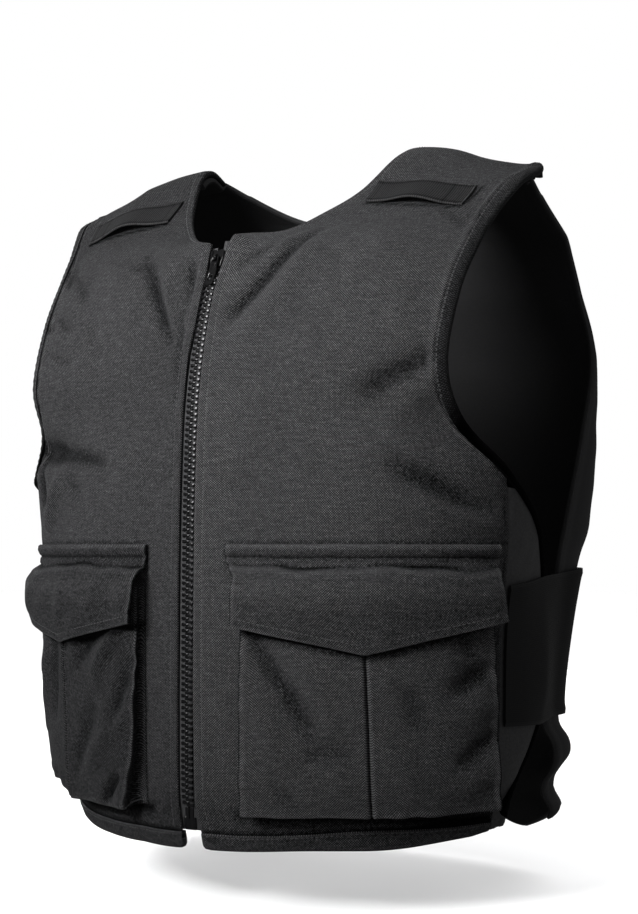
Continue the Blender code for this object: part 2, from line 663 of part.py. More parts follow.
def prism(outline, place, low, high):
    """Points and faces of an outline carried from low to high. place(a, b, c) gives a point in space."""
    count = len(outline)
    points = [place(a, b, c) for c in (low, high) for a, b in outline]
    faces = [tuple(range(count))[::-1], tuple(range(count, 2 * count))]
    for k in range(count):
        after = (k + 1) % count
        faces.append((k, after, count + after, count + k))
    return points, faces


def combine(name, shapes, material, pivot=(0.0, 0.0, 0.0)):
    """One solid from shapes, each a word for union or cut with its points and faces. First is the base."""
    base = mesh_object(name, *shapes[0][1], material, pivot)
    for number, (word, shape) in enumerate(shapes[1:]):
        helper = mesh_object(f"{name}_{word}_{number}", *shape, material)
        helper.hide_render = True
        helper.display_type = "WIRE"
        step = base.modifiers.new(word, "BOOLEAN")
        step.operation = "UNION" if word == "union" else "DIFFERENCE"
        step.object = helper
    return base


def box_outline(x0, x1, y0, y1):
    return ((x0, y0), (x1, y0), (x1, y1), (x0, y1))


def zip_slider(frame, plate_face, material):
    """Two plates over and under the chain, a post between them and the bail that holds the pull."""
    chain_front = TAPE_FACE + TOOTH_RISE + FIT
    chain_back = TAPE_FACE - TAPE - TOOTH_RISE - FIT

    def flat(a, b, c):
        return frame(a, c, b)

    def arched(a, b, c):
        return frame(c, a, b)

    post = box_outline(-SLIDER_POST, SLIDER_POST, 0.0020, 0.0058)
    angles = np.linspace(0.0, math.pi, 9)
    middle = plate_face + BAIL_HOLE
    big, small, sunk = BAIL_HOLE + BAIL_WIRE, BAIL_HOLE, plate_face - 0.0005
    bail = [(sunk, big)] + [(middle + big * math.sin(a), big * math.cos(a)) for a in angles] + [(sunk, -big)]
    bail += [(sunk, -small)] + [(middle + small * math.sin(a), -small * math.cos(a)) for a in angles]
    bail += [(sunk, small)]
    shapes = [
        ("base", prism(SLIDER_OUTLINE, flat, chain_front, plate_face)),
        ("union", prism(post, flat, chain_back - SLIDER_PLATE / 2, chain_front + SLIDER_PLATE / 2)),
        ("union", prism(SLIDER_OUTLINE, flat, chain_back - SLIDER_PLATE, chain_back)),
        ("union", prism(bail, arched, -BAIL_HALF_WIDTH, BAIL_HALF_WIDTH)),
    ]
    return combine("zip_slider", shapes, material)


def zip_pull(frame, plate_face, material):
    """A flat pull whose top bar lies in the bail. Its origin is on the bar, which it turns about."""
    middle = plate_face + BAIL_HOLE
    pivot = frame(0.0, middle, 0.0)
    thick = PULL_HALF_THICKNESS
    wide, slim, chamfer = PULL_HALF_WIDTH, PULL_HALF_WIDTH * 0.86, 0.0010
    neck = -PULL_LENGTH * 0.45

    def flat(a, b, c):
        return frame(a, c, b)

    outline = (
        (-wide + chamfer, -PULL_LENGTH), (wide - chamfer, -PULL_LENGTH), (wide, -PULL_LENGTH + chamfer),
        (wide, neck - chamfer), (slim, neck), (slim, thick), (-slim, thick), (-slim, neck),
        (-wide, neck - chamfer), (-wide, -PULL_LENGTH + chamfer),
    )
    window = box_outline(-PULL_WINDOW_HALF, PULL_WINDOW_HALF, -PULL_WINDOW_END, -thick)
    slot = box_outline(-PULL_SLOT_HALF, PULL_SLOT_HALF, -PULL_SLOT[1], -PULL_SLOT[0])
    through_cut = 3.0 * thick
    shapes = [
        ("base", prism(outline, flat, middle - thick, middle + thick)),
        ("cut", prism(window, flat, middle - through_cut, middle + through_cut)),
        ("cut", prism(slot, flat, middle - through_cut, middle + through_cut)),
    ]
    return combine("zip_pull", shapes, material, pivot)


def zip_bottom_box(material):
    frame = Frame(BOX_TOP)
    front = -FACING - FIT
    outline = box_outline(-BOX_HALF_WIDTH, BOX_HALF_WIDTH, front - BOX_DEPTH, front)
    return mesh_object("zip_bottom_box", *prism(outline, frame, -FIT - BOX_HEIGHT, -FIT), material)


def pocket(side, material):
    """A bellows pocket: an open tray of cloth with its foot on the panel and a pleat down its middle."""
    half = POCKET_WIDTH / 2
    left = np.array([0.0, 0.0010, 0.0032, 0.0090, 0.030, 0.056, half - 0.0060, half - 0.0020])
    across = np.concatenate([left, [half], POCKET_WIDTH - left[::-1]])
    side_rise = np.concatenate([[0.0, 0.60, 0.92], np.ones(len(across) - 6), [0.92, 0.60, 0.0]])
    pleat = np.exp(-(((across - half) / 0.0026) ** 2))
    height = POCKET_TOP - POCKET_FOOT
    climb = np.array([0.0, 0.0010, 0.0032, 0.0090, 0.035, 0.068, 0.100, 0.125, height])
    foot_rise = np.array([0.0, 0.60, 0.92, 1.0, 1.0, 1.0, 1.0, 1.0, 1.0])
    shares, fullness = zip(*POCKET_SWELL)
    outer, inner = [], []
    for up, rise in zip(climb, foot_rise):
        swell = POCKET_DEPTH * np.interp(up / height, shares, fullness)
        dent = PLEAT_DEPTH * pleat * rise
        inner_up = POCKET_CLOTH + up * (height - POCKET_CLOTH) / height
        inner_across = POCKET_CLOTH + across * (POCKET_WIDTH - 2 * POCKET_CLOTH) / POCKET_WIDTH
        lift = GAP + swell * side_rise * rise - dent
        inner_lift = GAP + (swell - POCKET_CLOTH) * side_rise * rise - dent
        v_outer = FRONT.place_of_height(POCKET_FOOT + up)
        v_inner = FRONT.place_of_height(POCKET_FOOT + inner_up)
        outer.append(FRONT.at(v_outer, POCKET_START + across, lift))
        inner.append(FRONT.at(v_inner, POCKET_START + inner_across, inner_lift))
    return sided("pocket", side, *wall(np.array(outer), np.array(inner)), material)


def pocket_flap(side, material):
    """Stitched strip, then a flap that stands out over the pocket and hangs to a point."""
    spread = np.linspace(0.0, 1.0, 13)
    strip_start = STRIP_START_LEFT if side > 0 else STRIP_START_RIGHT
    heights, offs = (np.array(column) for column in zip(*FLAP_PROFILE))
    edge = FLAP_SIDE - FLAP_POINT * (1.0 - np.abs(2.0 * spread - 1.0))
    edge = edge + FLAP_OUTER_RISE * np.maximum(2.0 * spread - 1.0, 0.0)
    rows_z = [np.full(len(spread), z) for z in heights] + [(heights[-1] + edge) / 2, edge]
    rows_off = list(offs) + [(offs[-1] + FLAP_EDGE_OFF) / 2, FLAP_EDGE_OFF]
    fold = smooth((heights[2] - np.array([row[0] for row in rows_z])) / 0.014)
    outer, inner = [], []
    for number, (z, off) in enumerate(zip(rows_z, rows_off)):
        start = strip_start + (FLAP_START - strip_start) * fold[number]
        end = STRIP_END + (FLAP_START + FLAP_WIDTH - STRIP_END) * fold[number]
        across = start + (end - start) * spread
        before, after = max(number - 1, 0), min(number + 1, len(rows_z) - 1)
        fall = np.array([rows_z[after][0] - rows_z[before][0], rows_off[after] - rows_off[before]])
        fall /= np.linalg.norm(fall)
        # The inner face is one cloth thickness behind, square to the fall of the flap.
        step_off, step_z = -abs(fall[0]) * FLAP_CLOTH, -fall[1] * FLAP_CLOTH
        for target, level, lift in ((outer, z, off), (inner, z + step_z, off + step_off)):
            target.append([FRONT.at(FRONT.place_of_height(h), np.array([a]), lift)[0]
                           for h, a in zip(level, across)])
    return sided("pocket_flap", side, *wall(np.array(outer), np.array(inner)), material)


def radio_loop(side, material):
    """A band of webbing, down at its two ends and bowed off the cloth between, most at its lower edge."""
    lower, upper = np.array(LOOP_LOWER), np.array(LOOP_UPPER)
    outer, inner = [], []
    for share in (0.0, 0.5, 1.0):
        start, end = lower + (upper - lower) * share
        above, below = [], []
        for along in np.linspace(0.0, 1.0, 13):
            v, across = start + (end - start) * along
            bow = LOOP_LIFT * math.sin(math.pi * along) * (1.0 - 0.35 * share)
            above.append(FRONT.at(v, [across], GAP + WEBBING + bow)[0])
            below.append(FRONT.at(v, [across], GAP + bow)[0])
        outer.append(above)
        inner.append(below)
    return sided("radio_loop", side, *wall(np.array(outer), np.array(inner)), material)


def side_strap(side, material):
    """Wide elastic from the side seam over the wing, across the gap and round the corner of the back."""
    path = [(WING_FACE, share) for share in (0.02, 0.22, 0.42, 0.62, 0.82, 1.0)]
    path += [(BACK, share) for share in (1.0, 0.95, 0.90, 0.85, 0.80, 0.74, 0.67, 0.58, 0.48)]
    inner, outer = [], []
    for share in np.linspace(0.0, 1.0, 5):
        below, above = [], []
        for number, (surface, s) in enumerate(path):
            along = smooth(2.0 * number / (len(path) - 1))
            bottom = STRAP_BOTTOM - STRAP_FALL * along
            z = bottom + (STRAP_TOP + STRAP_RISE * along - bottom) * share
            v = surface.place_of_height(z, s)
            lift = STRAP_LIFT if surface is WING_FACE else STRAP_LIFT_BACK
            below.append(surface.raw(v, s) + lift * surface.normal(v, s))
            above.append(surface.raw(v, s) + (lift + ELASTIC) * surface.normal(v, s))
        inner.append(below)
        outer.append(above)
    return sided("side_strap", side, *wall(np.array(outer), np.array(inner)), material)


def main():
    for piece in list(bpy.data.objects):
        bpy.data.objects.remove(piece, do_unlink=True)
    canvas = make_material("canvas", 0.85)
    smooth_cloth = make_material("smooth_cloth", 0.6)
    webbing = make_material("webbing", 0.75)
    zip_plastic = make_material("zip_plastic", 0.35)
    zip_metal = make_material("zip_metal", 0.25, 1.0)
    for side in (1, -1):
        front_panel(side, canvas)
        hem_band(side, canvas)
        side_wing(side, smooth_cloth)
        armhole_binding(side, smooth_cloth)
        zip_tape(side, zip_plastic)
        pocket(side, canvas)
        pocket_flap(side, canvas)
        radio_loop(side, webbing)
        side_strap(side, smooth_cloth)
    back_panel(smooth_cloth)
    frame = Frame(SLIDER_HEIGHT)
    plate_face = TAPE_FACE + TOOTH_RISE + FIT + SLIDER_PLATE
    zip_slider(frame, plate_face, zip_metal)
    zip_pull(frame, plate_face, zip_metal)
    zip_bottom_box(zip_plastic)


main()
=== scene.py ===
# Stab vest in its worn form: charcoal canvas fronts with a moulded zip, flapped bellows pockets and webbing
# loops, and a near-black back, wings, bindings and elastic straps. Metres, +Z up, the wearer faces -Y.
import math

import bmesh
import bpy
import numpy as np
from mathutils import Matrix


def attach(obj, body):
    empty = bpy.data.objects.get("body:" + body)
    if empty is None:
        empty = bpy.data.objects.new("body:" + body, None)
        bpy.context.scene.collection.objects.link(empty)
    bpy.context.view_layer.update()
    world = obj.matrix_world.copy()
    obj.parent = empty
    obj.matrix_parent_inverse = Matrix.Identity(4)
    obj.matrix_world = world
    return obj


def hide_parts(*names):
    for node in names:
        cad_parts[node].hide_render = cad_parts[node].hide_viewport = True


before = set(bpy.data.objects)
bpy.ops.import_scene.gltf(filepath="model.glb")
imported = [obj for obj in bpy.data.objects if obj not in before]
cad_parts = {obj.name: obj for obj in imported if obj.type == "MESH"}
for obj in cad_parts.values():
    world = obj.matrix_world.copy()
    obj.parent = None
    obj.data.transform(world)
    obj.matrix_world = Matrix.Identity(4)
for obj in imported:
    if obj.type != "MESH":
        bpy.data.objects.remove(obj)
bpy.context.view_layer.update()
print("stage: frame loaded")

# The cloth surfaces are the same ruled rows as the solids.

# inner x y z, outer x y z, inner turn and pull, outer turn and pull, from the hem up over the shoulder
frontRows = np.array([
    [0.000, -0.1470, -0.5100, 0.1760, -0.0490, -0.4930, 0, 0.084, 58, 0.044],
    [0.000, -0.1500, -0.4700, 0.1853, -0.0520, -0.4640, 0, 0.090, 62, 0.046],
    [0.000, -0.1505, -0.4200, 0.1880, -0.0550, -0.4180, 0, 0.096, 66, 0.050],
    [0.000, -0.1500, -0.3600, 0.1915, -0.0610, -0.3600, 0, 0.102, 72, 0.058],
    [0.000, -0.1490, -0.3000, 0.1980, -0.0640, -0.3000, 0, 0.104, 76, 0.062],
    [0.000, -0.1465, -0.2480, 0.2020, -0.0770, -0.2460, 0, 0.098, 64, 0.048],
    [0.000, -0.1435, -0.2100, 0.1800, -0.0980, -0.2150, 0, 0.086, 44, 0.030],
    [0.000, -0.1385, -0.1750, 0.1765, -0.1130, -0.1800, 0, 0.080, 30, 0.030],
    [0.000, -0.1290, -0.1300, 0.1785, -0.0970, -0.1300, 0, 0.072, 30, 0.040],
    [0.000, -0.1155, -0.0855, 0.1825, -0.0730, -0.0940, 0, 0.064, 32, 0.044],
    [0.036, -0.0900, -0.0765, 0.1860, -0.0590, -0.0760, 4, 0.050, 24, 0.044],
    [0.058, -0.0680, -0.0610, 0.1910, -0.0470, -0.0610, 6, 0.040, 16, 0.040],
    [0.074, -0.0450, -0.0430, 0.1970, -0.0330, -0.0460, 6, 0.036, 8, 0.036],
    [0.087, -0.0150, -0.0140, 0.2010, -0.0140, -0.0360, 0, 0.034, 0, 0.034],
    [0.093, 0.0110, -0.0030, 0.1965, -0.0020, -0.0310, 0, 0.034, 0, 0.034],
    [0.096, 0.0340, -0.0075, 0.1925, 0.0100, -0.0355, 0, 0.034, -4, 0.034],
])
underarmRow, collarRow, lapRow = 5, 9, 15

# free edge of the wing from the hem up to the underarm
wingRows = np.array([
    [0.1870, -0.0420, -0.4820],
    [0.1885, -0.0280, -0.4640],
    [0.1924, -0.0140, -0.4440],
    [0.1962, -0.0040, -0.4220],
    [0.1985, 0.0010, -0.3900],
    [0.1980, 0.0000, -0.3450],
    [0.1985, -0.0050, -0.3080],
    [0.2020, -0.0180, -0.2880],
    [0.2030, -0.0360, -0.2720],
    [0.2030, -0.0600, -0.2570],
])

backRows = np.array([
    [0.000, 0.1310, -0.5140, 0.1760, 0.0560, -0.5060, 0, 0.104, -98, 0.060],
    [0.000, 0.1330, -0.4560, 0.1870, 0.0540, -0.4520, 0, 0.110, -104, 0.070],
    [0.000, 0.1320, -0.4200, 0.1815, 0.0430, -0.4180, 0, 0.108, -100, 0.070],
    [0.000, 0.1330, -0.3250, 0.1900, 0.0440, -0.3220, 0, 0.116, -106, 0.078],
    [0.000, 0.1370, -0.2800, 0.1915, 0.0580, -0.2820, 0, 0.124, -112, 0.082],
    [0.000, 0.1400, -0.2150, 0.1955, 0.0820, -0.2160, 0, 0.124, -108, 0.064],
    [0.000, 0.1360, -0.1500, 0.1985, 0.0980, -0.1560, 0, 0.110, -80, 0.046],
    [0.000, 0.1180, -0.0900, 0.1890, 0.0940, -0.1050, 0, 0.080, -34, 0.034],
    [0.000, 0.0980, -0.0350, 0.1870, 0.0790, -0.0760, 0, 0.056, -20, 0.040],
    [0.058, 0.0820, -0.0270, 0.1900, 0.0620, -0.0610, 0, 0.040, -12, 0.040],
])
napeRow, backLapRow = 8, 10

# height, middle of the zip, left and right fronts' edges from there
closureRows = np.array([
    [-0.5100, -0.0055, 0.0113, 0.0045],
    [-0.4950, -0.0055, 0.0095, 0.0062],
    [-0.4780, -0.0055, 0.0058, 0.0082],
    [-0.4000, -0.0054, 0.0048, 0.0084],
    [-0.3000, -0.0056, 0.0048, 0.0082],
    [-0.2500, -0.0060, 0.0048, 0.0082],
    [-0.2000, -0.0064, 0.0048, 0.0082],
    [-0.1650, -0.0061, 0.0048, 0.0078],
    [-0.1450, -0.0054, 0.0048, 0.0056],
    [-0.1200, -0.0041, 0.0050, 0.0051],
    [-0.1080, -0.0024, 0.0056, 0.0060],
    [-0.1030, -0.0015, 0.0066, 0.0070],
    [-0.0920, -0.0015, 0.0085, 0.0070],
    [-0.0840, -0.0015, 0.0120, 0.0066],
])

# distance beside the middle on the wearer's right, shoulder lift, hem drop
rightHang = np.array([
    [0.000, 0.0000, 0.0000],
    [0.050, 0.0000, 0.0030],
    [0.093, 0.0066, 0.0095],
    [0.145, 0.0115, 0.0200],
    [0.180, 0.0085, 0.0280],
    [0.205, 0.0030, 0.0290],
])

cloth = dict(carrier=0.0085, carrierEdge=0.0050, facing=0.0028, taper=0.024, wing=0.0036, gap=0.0005,
             binding=0.0064, rise=0.0007, hemTop=0.31, tapeReach=0.0165)


def eased(x):
    # 0 below 0, 1 above 1, and three x squared less two x cubed between them
    x = np.clip(x, 0.0, 1.0)
    return x * x * (3.0 - 2.0 * x)


def ramp(x, start, width):
    # 0 up to the start and 1 from a width further on; a negative width runs the other way
    return eased((x - start) / width)


def bell(x, width):
    # 1 in the middle, falling as e to the minus square of x over the width
    return np.exp(-((x / width) ** 2))


def bells(x, *rows):
    # sum of bells across x, each with its height, place and width
    return sum(height * bell(x - place, width) for height, place, width in rows)


def bySide(side, left, right):
    # the left value on the wearer's left, else the right one
    return left if side > 0 else right


def mm(rows):
    # millimetres times a thousandth
    return 0.001 * np.array(rows)


def unit(vectors):
    # each vector over its own length
    return vectors / np.linalg.norm(vectors, axis=-1, keepdims=True)


def squared(vectors, runs):
    # unit vectors square to the runs
    return unit(vectors - runs * (vectors * runs).sum(axis=-1, keepdims=True))


def gone(points, axis=0):
    # distance along the line of points up to each of them
    steps = np.linalg.norm(np.diff(points, axis=axis), axis=-1)
    return np.concatenate([np.zeros_like(steps.take([0], axis)), np.cumsum(steps, axis)], axis)


def resampled(steps, far, values):
    # the values known at the distances far, read between them at the steps
    return np.stack([np.interp(steps, far, values[:, k]) for k in range(3)], axis=1)


def blurred(grid, axis, reach, spread):
    # each point averaged with its neighbours along one axis, weighted by a bell
    weights = bell(np.arange(-reach, reach + 1), spread)
    padding = [(0, 0)] * 3
    padding[axis] = (reach, reach)
    padded = np.pad(grid, padding, mode="reflect", reflect_type="odd")
    lines = np.arange(grid.shape[axis])
    return sum(w * padded.take(lines + k, axis) for k, w in enumerate(weights / weights.sum()))


def throughRows(values, places, corner=None):
    # Hermite curve through the rows, each with the slope of its neighbours; it may break at the corner row
    if corner is not None:
        low = throughRows(values[: corner + 1], np.minimum(places, corner))
        high = throughRows(values[corner:], np.maximum(places - corner, 0.0))
        return np.where((places <= corner)[..., None], low, high)
    slopes = np.gradient(values, axis=0)
    first = np.clip(np.floor(places).astype(int), 0, len(values) - 2)
    t = (places - first)[..., None]
    here = (2 * t**3 - 3 * t**2 + 1) * values[first] + (t**3 - 2 * t**2 + t) * slopes[first]
    after = (3 * t**2 - 2 * t**3) * values[first + 1] + (t**3 - t**2) * slopes[first + 1]
    return here + after


def headingOf(degrees):
    # the level unit direction at that turn from +X towards +Y
    angle = np.radians(degrees)
    return np.stack([np.cos(angle), np.sin(angle), np.zeros_like(angle)], axis=-1)


def rowCurve(start, startTurn, startPull, end, endTurn, endPull, s):
    # cubic Bezier whose handles lie along the two headings, as long as the pulls
    near = start + startPull[..., None] * headingOf(startTurn)
    far = end - endPull[..., None] * headingOf(endTurn)
    s = s[..., None]
    return (1 - s) ** 3 * start + 3 * s * (1 - s) ** 2 * near + 3 * s**2 * (1 - s) * far + s**3 * end


def frontPoints(v, s):
    # inner edge, outer edge and headings read at row place v, and the curve between them at share s
    inner = throughRows(frontRows[:, 0:3], v, collarRow)
    outer = throughRows(frontRows[:, 3:6], v, underarmRow)
    aim = throughRows(frontRows[:, 6:10], v)
    return rowCurve(inner, aim[..., 0], aim[..., 1], outer, aim[..., 2], aim[..., 3], s)


def backPoints(v, s):
    # the back's own rows up to the shoulder's end, and past it the front's rows read backwards
    values = np.concatenate([backRows, frontRows[[lapRow, lapRow - 1, lapRow - 2]]])
    inner = throughRows(values[:, 0:3], v, napeRow)
    rest = throughRows(values[:, 3:10], v)
    own = rowCurve(inner, rest[..., 3], rest[..., 4], rest[..., 0:3], rest[..., 5], rest[..., 6], s)
    under = v > backLapRow
    shared = frontPoints(np.where(under, lapRow + backLapRow - v, lapRow), s)
    return np.where(under[..., None], shared, own)


def wingPoints(v, s):
    # from the side seam, with the front's own heading, to the free edge
    free = throughRows(wingRows, v)
    seamPlace = 0.12 + (underarmRow - 0.12) * v / (len(wingRows) - 1)
    seam = frontPoints(seamPlace, np.ones_like(seamPlace))
    reach = np.linalg.norm(free - seam, axis=-1)
    turn = throughRows(frontRows[:, 8:9], seamPlace)[..., 0]
    return rowCurve(seam, turn, 0.4 * reach, free, np.full_like(turn, 96.0), 0.3 * reach, s)


class Cloth:
    # A ruled surface. One table holds the share of each row that lies at each distance along it.
    fine = 161
    perRow = 24
    cells = 400

    def __init__(self, rowPoints, last, outward):
        self.rowPoints, self.last, self.outward = rowPoints, last, outward
        self.places = np.linspace(0.0, last, int(last * self.perRow) + 1)
        shares = np.linspace(0.0, 1.0, self.fine)
        self.rows = rowPoints(*np.meshgrid(self.places, shares, indexing="ij"))
        self.lengths = gone(self.rows, 1)
        self.reach = self.lengths[:, -1].max() * 1.02
        distances = np.linspace(0.0, self.reach, self.cells + 1)
        self.table = np.array([np.interp(distances, row, shares) for row in self.lengths])

    def share(self, v, across):
        # bilinear reading of the table at row place v and distance across
        row = np.clip(v * self.perRow, 0.0, len(self.places) - 1.001)
        col = np.clip(across / self.reach * self.cells, 0.0, self.cells - 0.001)
        i, j = row.astype(int), col.astype(int)
        a, b = row - i, col - j
        low = self.table[i, j] * (1 - b) + self.table[i, j + 1] * b
        high = self.table[i + 1, j] * (1 - b) + self.table[i + 1, j + 1] * b
        return low * (1 - a) + high * a

    def normal(self, v, s):
        # square to the two directions of the surface, from small steps along each
        step = 1e-3
        along = self.rowPoints(v, np.clip(s + step, 0, 1)) - self.rowPoints(v, np.clip(s - step, 0, 1))
        up = self.rowPoints(np.minimum(v + step, self.last), s) - self.rowPoints(np.minimum(v, self.last) - step, s)
        return unit(np.cross(along, up) * self.outward)

    def at(self, v, across, off=0.0):
        # the point on row place v at distance across from its inner edge, moved off outwards
        v, across, off = np.broadcast_arrays(v, across, off)
        s = self.share(v.astype(float), across.astype(float))
        v = v.astype(float)
        return self.rowPoints(v, s) + off[..., None] * self.normal(v, s)

    def length(self, v):
        # distance across from the inner to the outer edge at row place v
        return np.interp(v, self.places, self.lengths[:, -1])

    def column(self, s):
        # the ready points nearest to share s, all the way up
        return self.rows[:, int(round(s * (self.fine - 1)))]

    def placeOfHeight(self, z, s=0.4):
        # row place at which that column reaches the height z
        return np.interp(z, np.maximum.accumulate(self.column(s)[:, 2]), self.places)

    def climb(self, v, s=0.5):
        # distance up the cloth from its hem to row place v
        return np.interp(v, self.places, gone(self.column(s)))

    def evenPlaces(self, first, last, step, s=0.5):
        # row places from first to last that lie about one step apart up the cloth
        low, high = self.climb(np.array([first, last]), s)
        wanted = np.linspace(low, high, max(2, int(round((high - low) / step)) + 1))
        return np.interp(wanted, self.climb(self.places, s), self.places)


front = Cloth(frontPoints, len(frontRows) - 1, 1.0)
wingFace = Cloth(wingPoints, len(wingRows) - 1, 1.0)
back = Cloth(backPoints, len(backRows) + 2, -1.0)


def mirrored(points):
    # x times minus one
    return np.asarray(points) * np.array([-1.0, 1.0, 1.0])


def hung(points):
    # the even vest as it hangs: the zip shifts sideways, the wearer's right lies higher and drops lower
    points = np.array(points, float)
    sideways, height = points[..., 0].copy(), points[..., 2].copy()
    shift = np.interp(height, closureRows[:, 0], closureRows[:, 1]) * (1.0 - eased(abs(sideways) / 0.045))
    points[..., 0] += np.where(points[..., 1] < 0.0, shift, 0.0)
    lift = np.interp(-sideways, rightHang[:, 0], rightHang[:, 1])
    drop = np.interp(-sideways, rightHang[:, 0], rightHang[:, 2])
    points[..., 2] += eased((height + 0.13) / 0.11) * lift
    points[..., 2] -= np.clip((-0.40 - height) / 0.11, 0.0, 1.2) ** 2 * drop
    points[..., 2] -= 0.0050 * eased((sideways - 0.10) / 0.07) * eased((-0.474 - height) / 0.012)
    return points


def collarRise(points, side):
    # the left front ends a little higher beside the zip
    if side > 0:
        beside = 1.0 - eased(points[..., 0] / 0.040)
        points[..., 2] += 0.0060 * beside * eased((points[..., 2] + 0.125) / 0.036)
    return points


def creases(x, z, table):
    # sum of soft ridges: each is a bell across its line, fading towards the line's two ends
    total = np.zeros_like(x)
    for x0, z0, x1, z1, width, height in table:
        along = np.array([x1 - x0, z1 - z0])
        near = np.clip(((x - x0) * along[0] + (z - z0) * along[1]) / (along @ along), 0.0, 1.0)
        away = np.hypot(x - x0 - near * along[0], z - z0 - near * along[1])
        total += height * bell(away, width) * np.sqrt(np.clip(4.0 * near * (1.0 - near), 0.02, 1.0))
    return total


def ripple(x, z, seed, size=0.035):
    # six crossing sine waves of about one size, between -1 and 1
    chance = np.random.default_rng(seed)
    total = np.zeros_like(x)
    for _ in range(6):
        angle, phase = chance.uniform(0, np.pi), chance.uniform(0, 2 * np.pi)
        wave = 2 * np.pi / (size * chance.uniform(0.6, 1.6))
        total += np.sin(wave * (x * np.cos(angle) + z * np.sin(angle)) + phase)
    return total / 6.0


def rimDrop(distance, radius):
    # how far a rounded rim falls within its radius of the edge
    inside = np.clip(radius - distance, 0.0, radius)
    return radius - np.sqrt(np.maximum(radius**2 - inside**2, 0.0))


# Meshes: closed walls of two grids, tubes and rows of small solids.


def sideName(name, side):
    # the name and its side; 0 stands for neither
    return name + {1: "_left", -1: "_right", 0: ""}[side]


def addObject(name, data):
    # the data as an object in the scene
    made = bpy.data.objects.new(name, data)
    bpy.context.scene.collection.objects.link(made)
    return made


def newMesh(name, side, points, faces, uv, tint, materials, picks=None, sharp=50.0):
    # one closed mesh of hung points; its faces are turned if the signed volume comes out below zero
    points = hung(mirrored(points) if side < 0 else points)
    quads = np.array(faces)
    a, b, c, d = (points[quads[:, k]] for k in range(4))
    if (a * np.cross(b, c)).sum() + (a * np.cross(c, d)).sum() < 0:
        quads = quads[:, ::-1]
    name = sideName(name, side)
    mesh = bpy.data.meshes.new(name)
    mesh.from_pydata(points.tolist(), [], quads.tolist())
    spots = np.empty(len(mesh.loops), int)
    mesh.loops.foreach_get("vertex_index", spots)
    mesh.uv_layers.new(name="cloth").data.foreach_set("uv", np.asarray(uv, float)[spots].ravel())
    # the tint is kept per point: painted light and shade, and the piece's own tone
    rub = np.broadcast_to(np.asarray(tint, float), len(points))
    mesh.attributes.new("rub", "FLOAT", "POINT").data.foreach_set("value", rub.ravel())
    for material in materials:
        mesh.materials.append(material)
    if picks is not None:
        mesh.polygons.foreach_set("material_index", np.asarray(picks, int))
    mesh.validate()
    mesh.shade_smooth()
    mesh.set_sharp_from_angle(angle=math.radians(sharp))
    return addObject(name, mesh)


def wallFaces(rows, cols, openRows=0):
    # quads of the outer grid, of the inner grid turned over, and of the four rims between them
    index = np.arange(rows * cols).reshape(rows, cols)
    under = rows * cols
    outer = np.stack([index[:-1, :-1], index[:-1, 1:], index[1:, 1:], index[1:, :-1]], -1).reshape(-1, 4)
    rims = []
    for line, keep in ((index[0, ::-1], 0), (index[-1], 0), (index[:, 0], openRows), (index[::-1, -1], 0)):
        strip = np.stack([line[:-1], line[1:], line[1:] + under, line[:-1] + under], -1)
        rims.append(strip[keep:])
    return outer, outer[:, ::-1] + under, np.concatenate(rims)


def wallPiece(name, side, outer, inner, uv, tint, materials, sharp=50.0):
    # closed wall of two grids; the inner face takes the last material
    shape = outer.shape[:2]
    parts = wallFaces(*shape)
    picks = np.repeat([0, len(materials) - 1, 0], [len(part) for part in parts])
    points = np.concatenate([outer.reshape(-1, 3), inner.reshape(-1, 3)])
    return newMesh(name, side, points, np.concatenate(parts), np.tile(np.asarray(uv).reshape(-1, 2), (2, 1)),
                   np.tile(np.broadcast_to(tint, shape).reshape(-1), 2), materials, picks, sharp)


def measuredUv(grid, middle):
    # distances along the rows from the middle column, and up the columns, as they lie on the finished shape
    sideways = gone(grid, 1)
    return np.stack([sideways - sideways[:, middle : middle + 1], gone(grid, 0)], -1)


def ringFaces(steps, around):
    # quads round a tube of steps rings; a strip of quads closes each end
    index = np.arange(steps * around).reshape(steps, around)
    after = np.roll(index, -1, axis=1)
    parts = [np.stack([index[:-1], after[:-1], after[1:], index[1:]], -1).reshape(-1, 4)]
    for line, turn in ((index[0], -1), (index[-1], 1)):
        low, high = line[: around // 2], line[::-1][: around // 2]
        parts.append(np.stack([low[:-1], low[1:], high[1:], high[:-1]], -1)[:, ::turn])
    return np.concatenate(parts)


def repeated(faces, count, size):
    # the faces of one small solid of so many points, for each of count solids
    return (faces[None] + (np.arange(count) * size)[:, None, None]).reshape(-1, 4)


def settle(piece, node):
    # rides on the vest and stands for its node
    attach(piece, "vest")
    if node:
        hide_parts(node)
    return piece


# Materials: woven and ribbed cloth, and black plastic and metal.


def addNode(tree, kind, inputs=None, **settings):
    # a node with its settings, its inputs linked or set
    made = tree.nodes.new(kind)
    for name, value in settings.items():
        setattr(made, name, value)
    for key, value in (inputs or {}).items():
        if isinstance(value, bpy.types.NodeSocket):
            tree.links.new(value, made.inputs[key])
        else:
            made.inputs[key].default_value = value
    return made


def calc(tree, operation, a, b=0.0, c=0.0, clamp=False):
    # one step of arithmetic on a, b and c
    inputs = {0: a, 1: b, 2: c}
    return addNode(tree, "ShaderNodeMath", inputs, operation=operation, use_clamp=clamp).outputs[0]


def product(tree, first, *rest):
    # first times each of the rest
    for value in rest:
        first = calc(tree, "MULTIPLY", first, value)
    return first


def varied(tree, value, amount):
    # 1, and up or down by the amount as the value leaves one half
    return calc(tree, "MULTIPLY_ADD", calc(tree, "SUBTRACT", value, 0.5), amount, 1.0)


def wave(tree, along, pitch):
    # cosine of pi times the distance over the pitch
    return calc(tree, "COSINE", calc(tree, "MULTIPLY", along, math.pi / pitch))


def noise(tree, place, scale, detail):
    # cloudy value from 0 to 1, finer as the scale grows
    return addNode(tree, "ShaderNodeTexNoise", {"Vector": place, "Scale": scale, "Detail": detail}).outputs["Fac"]


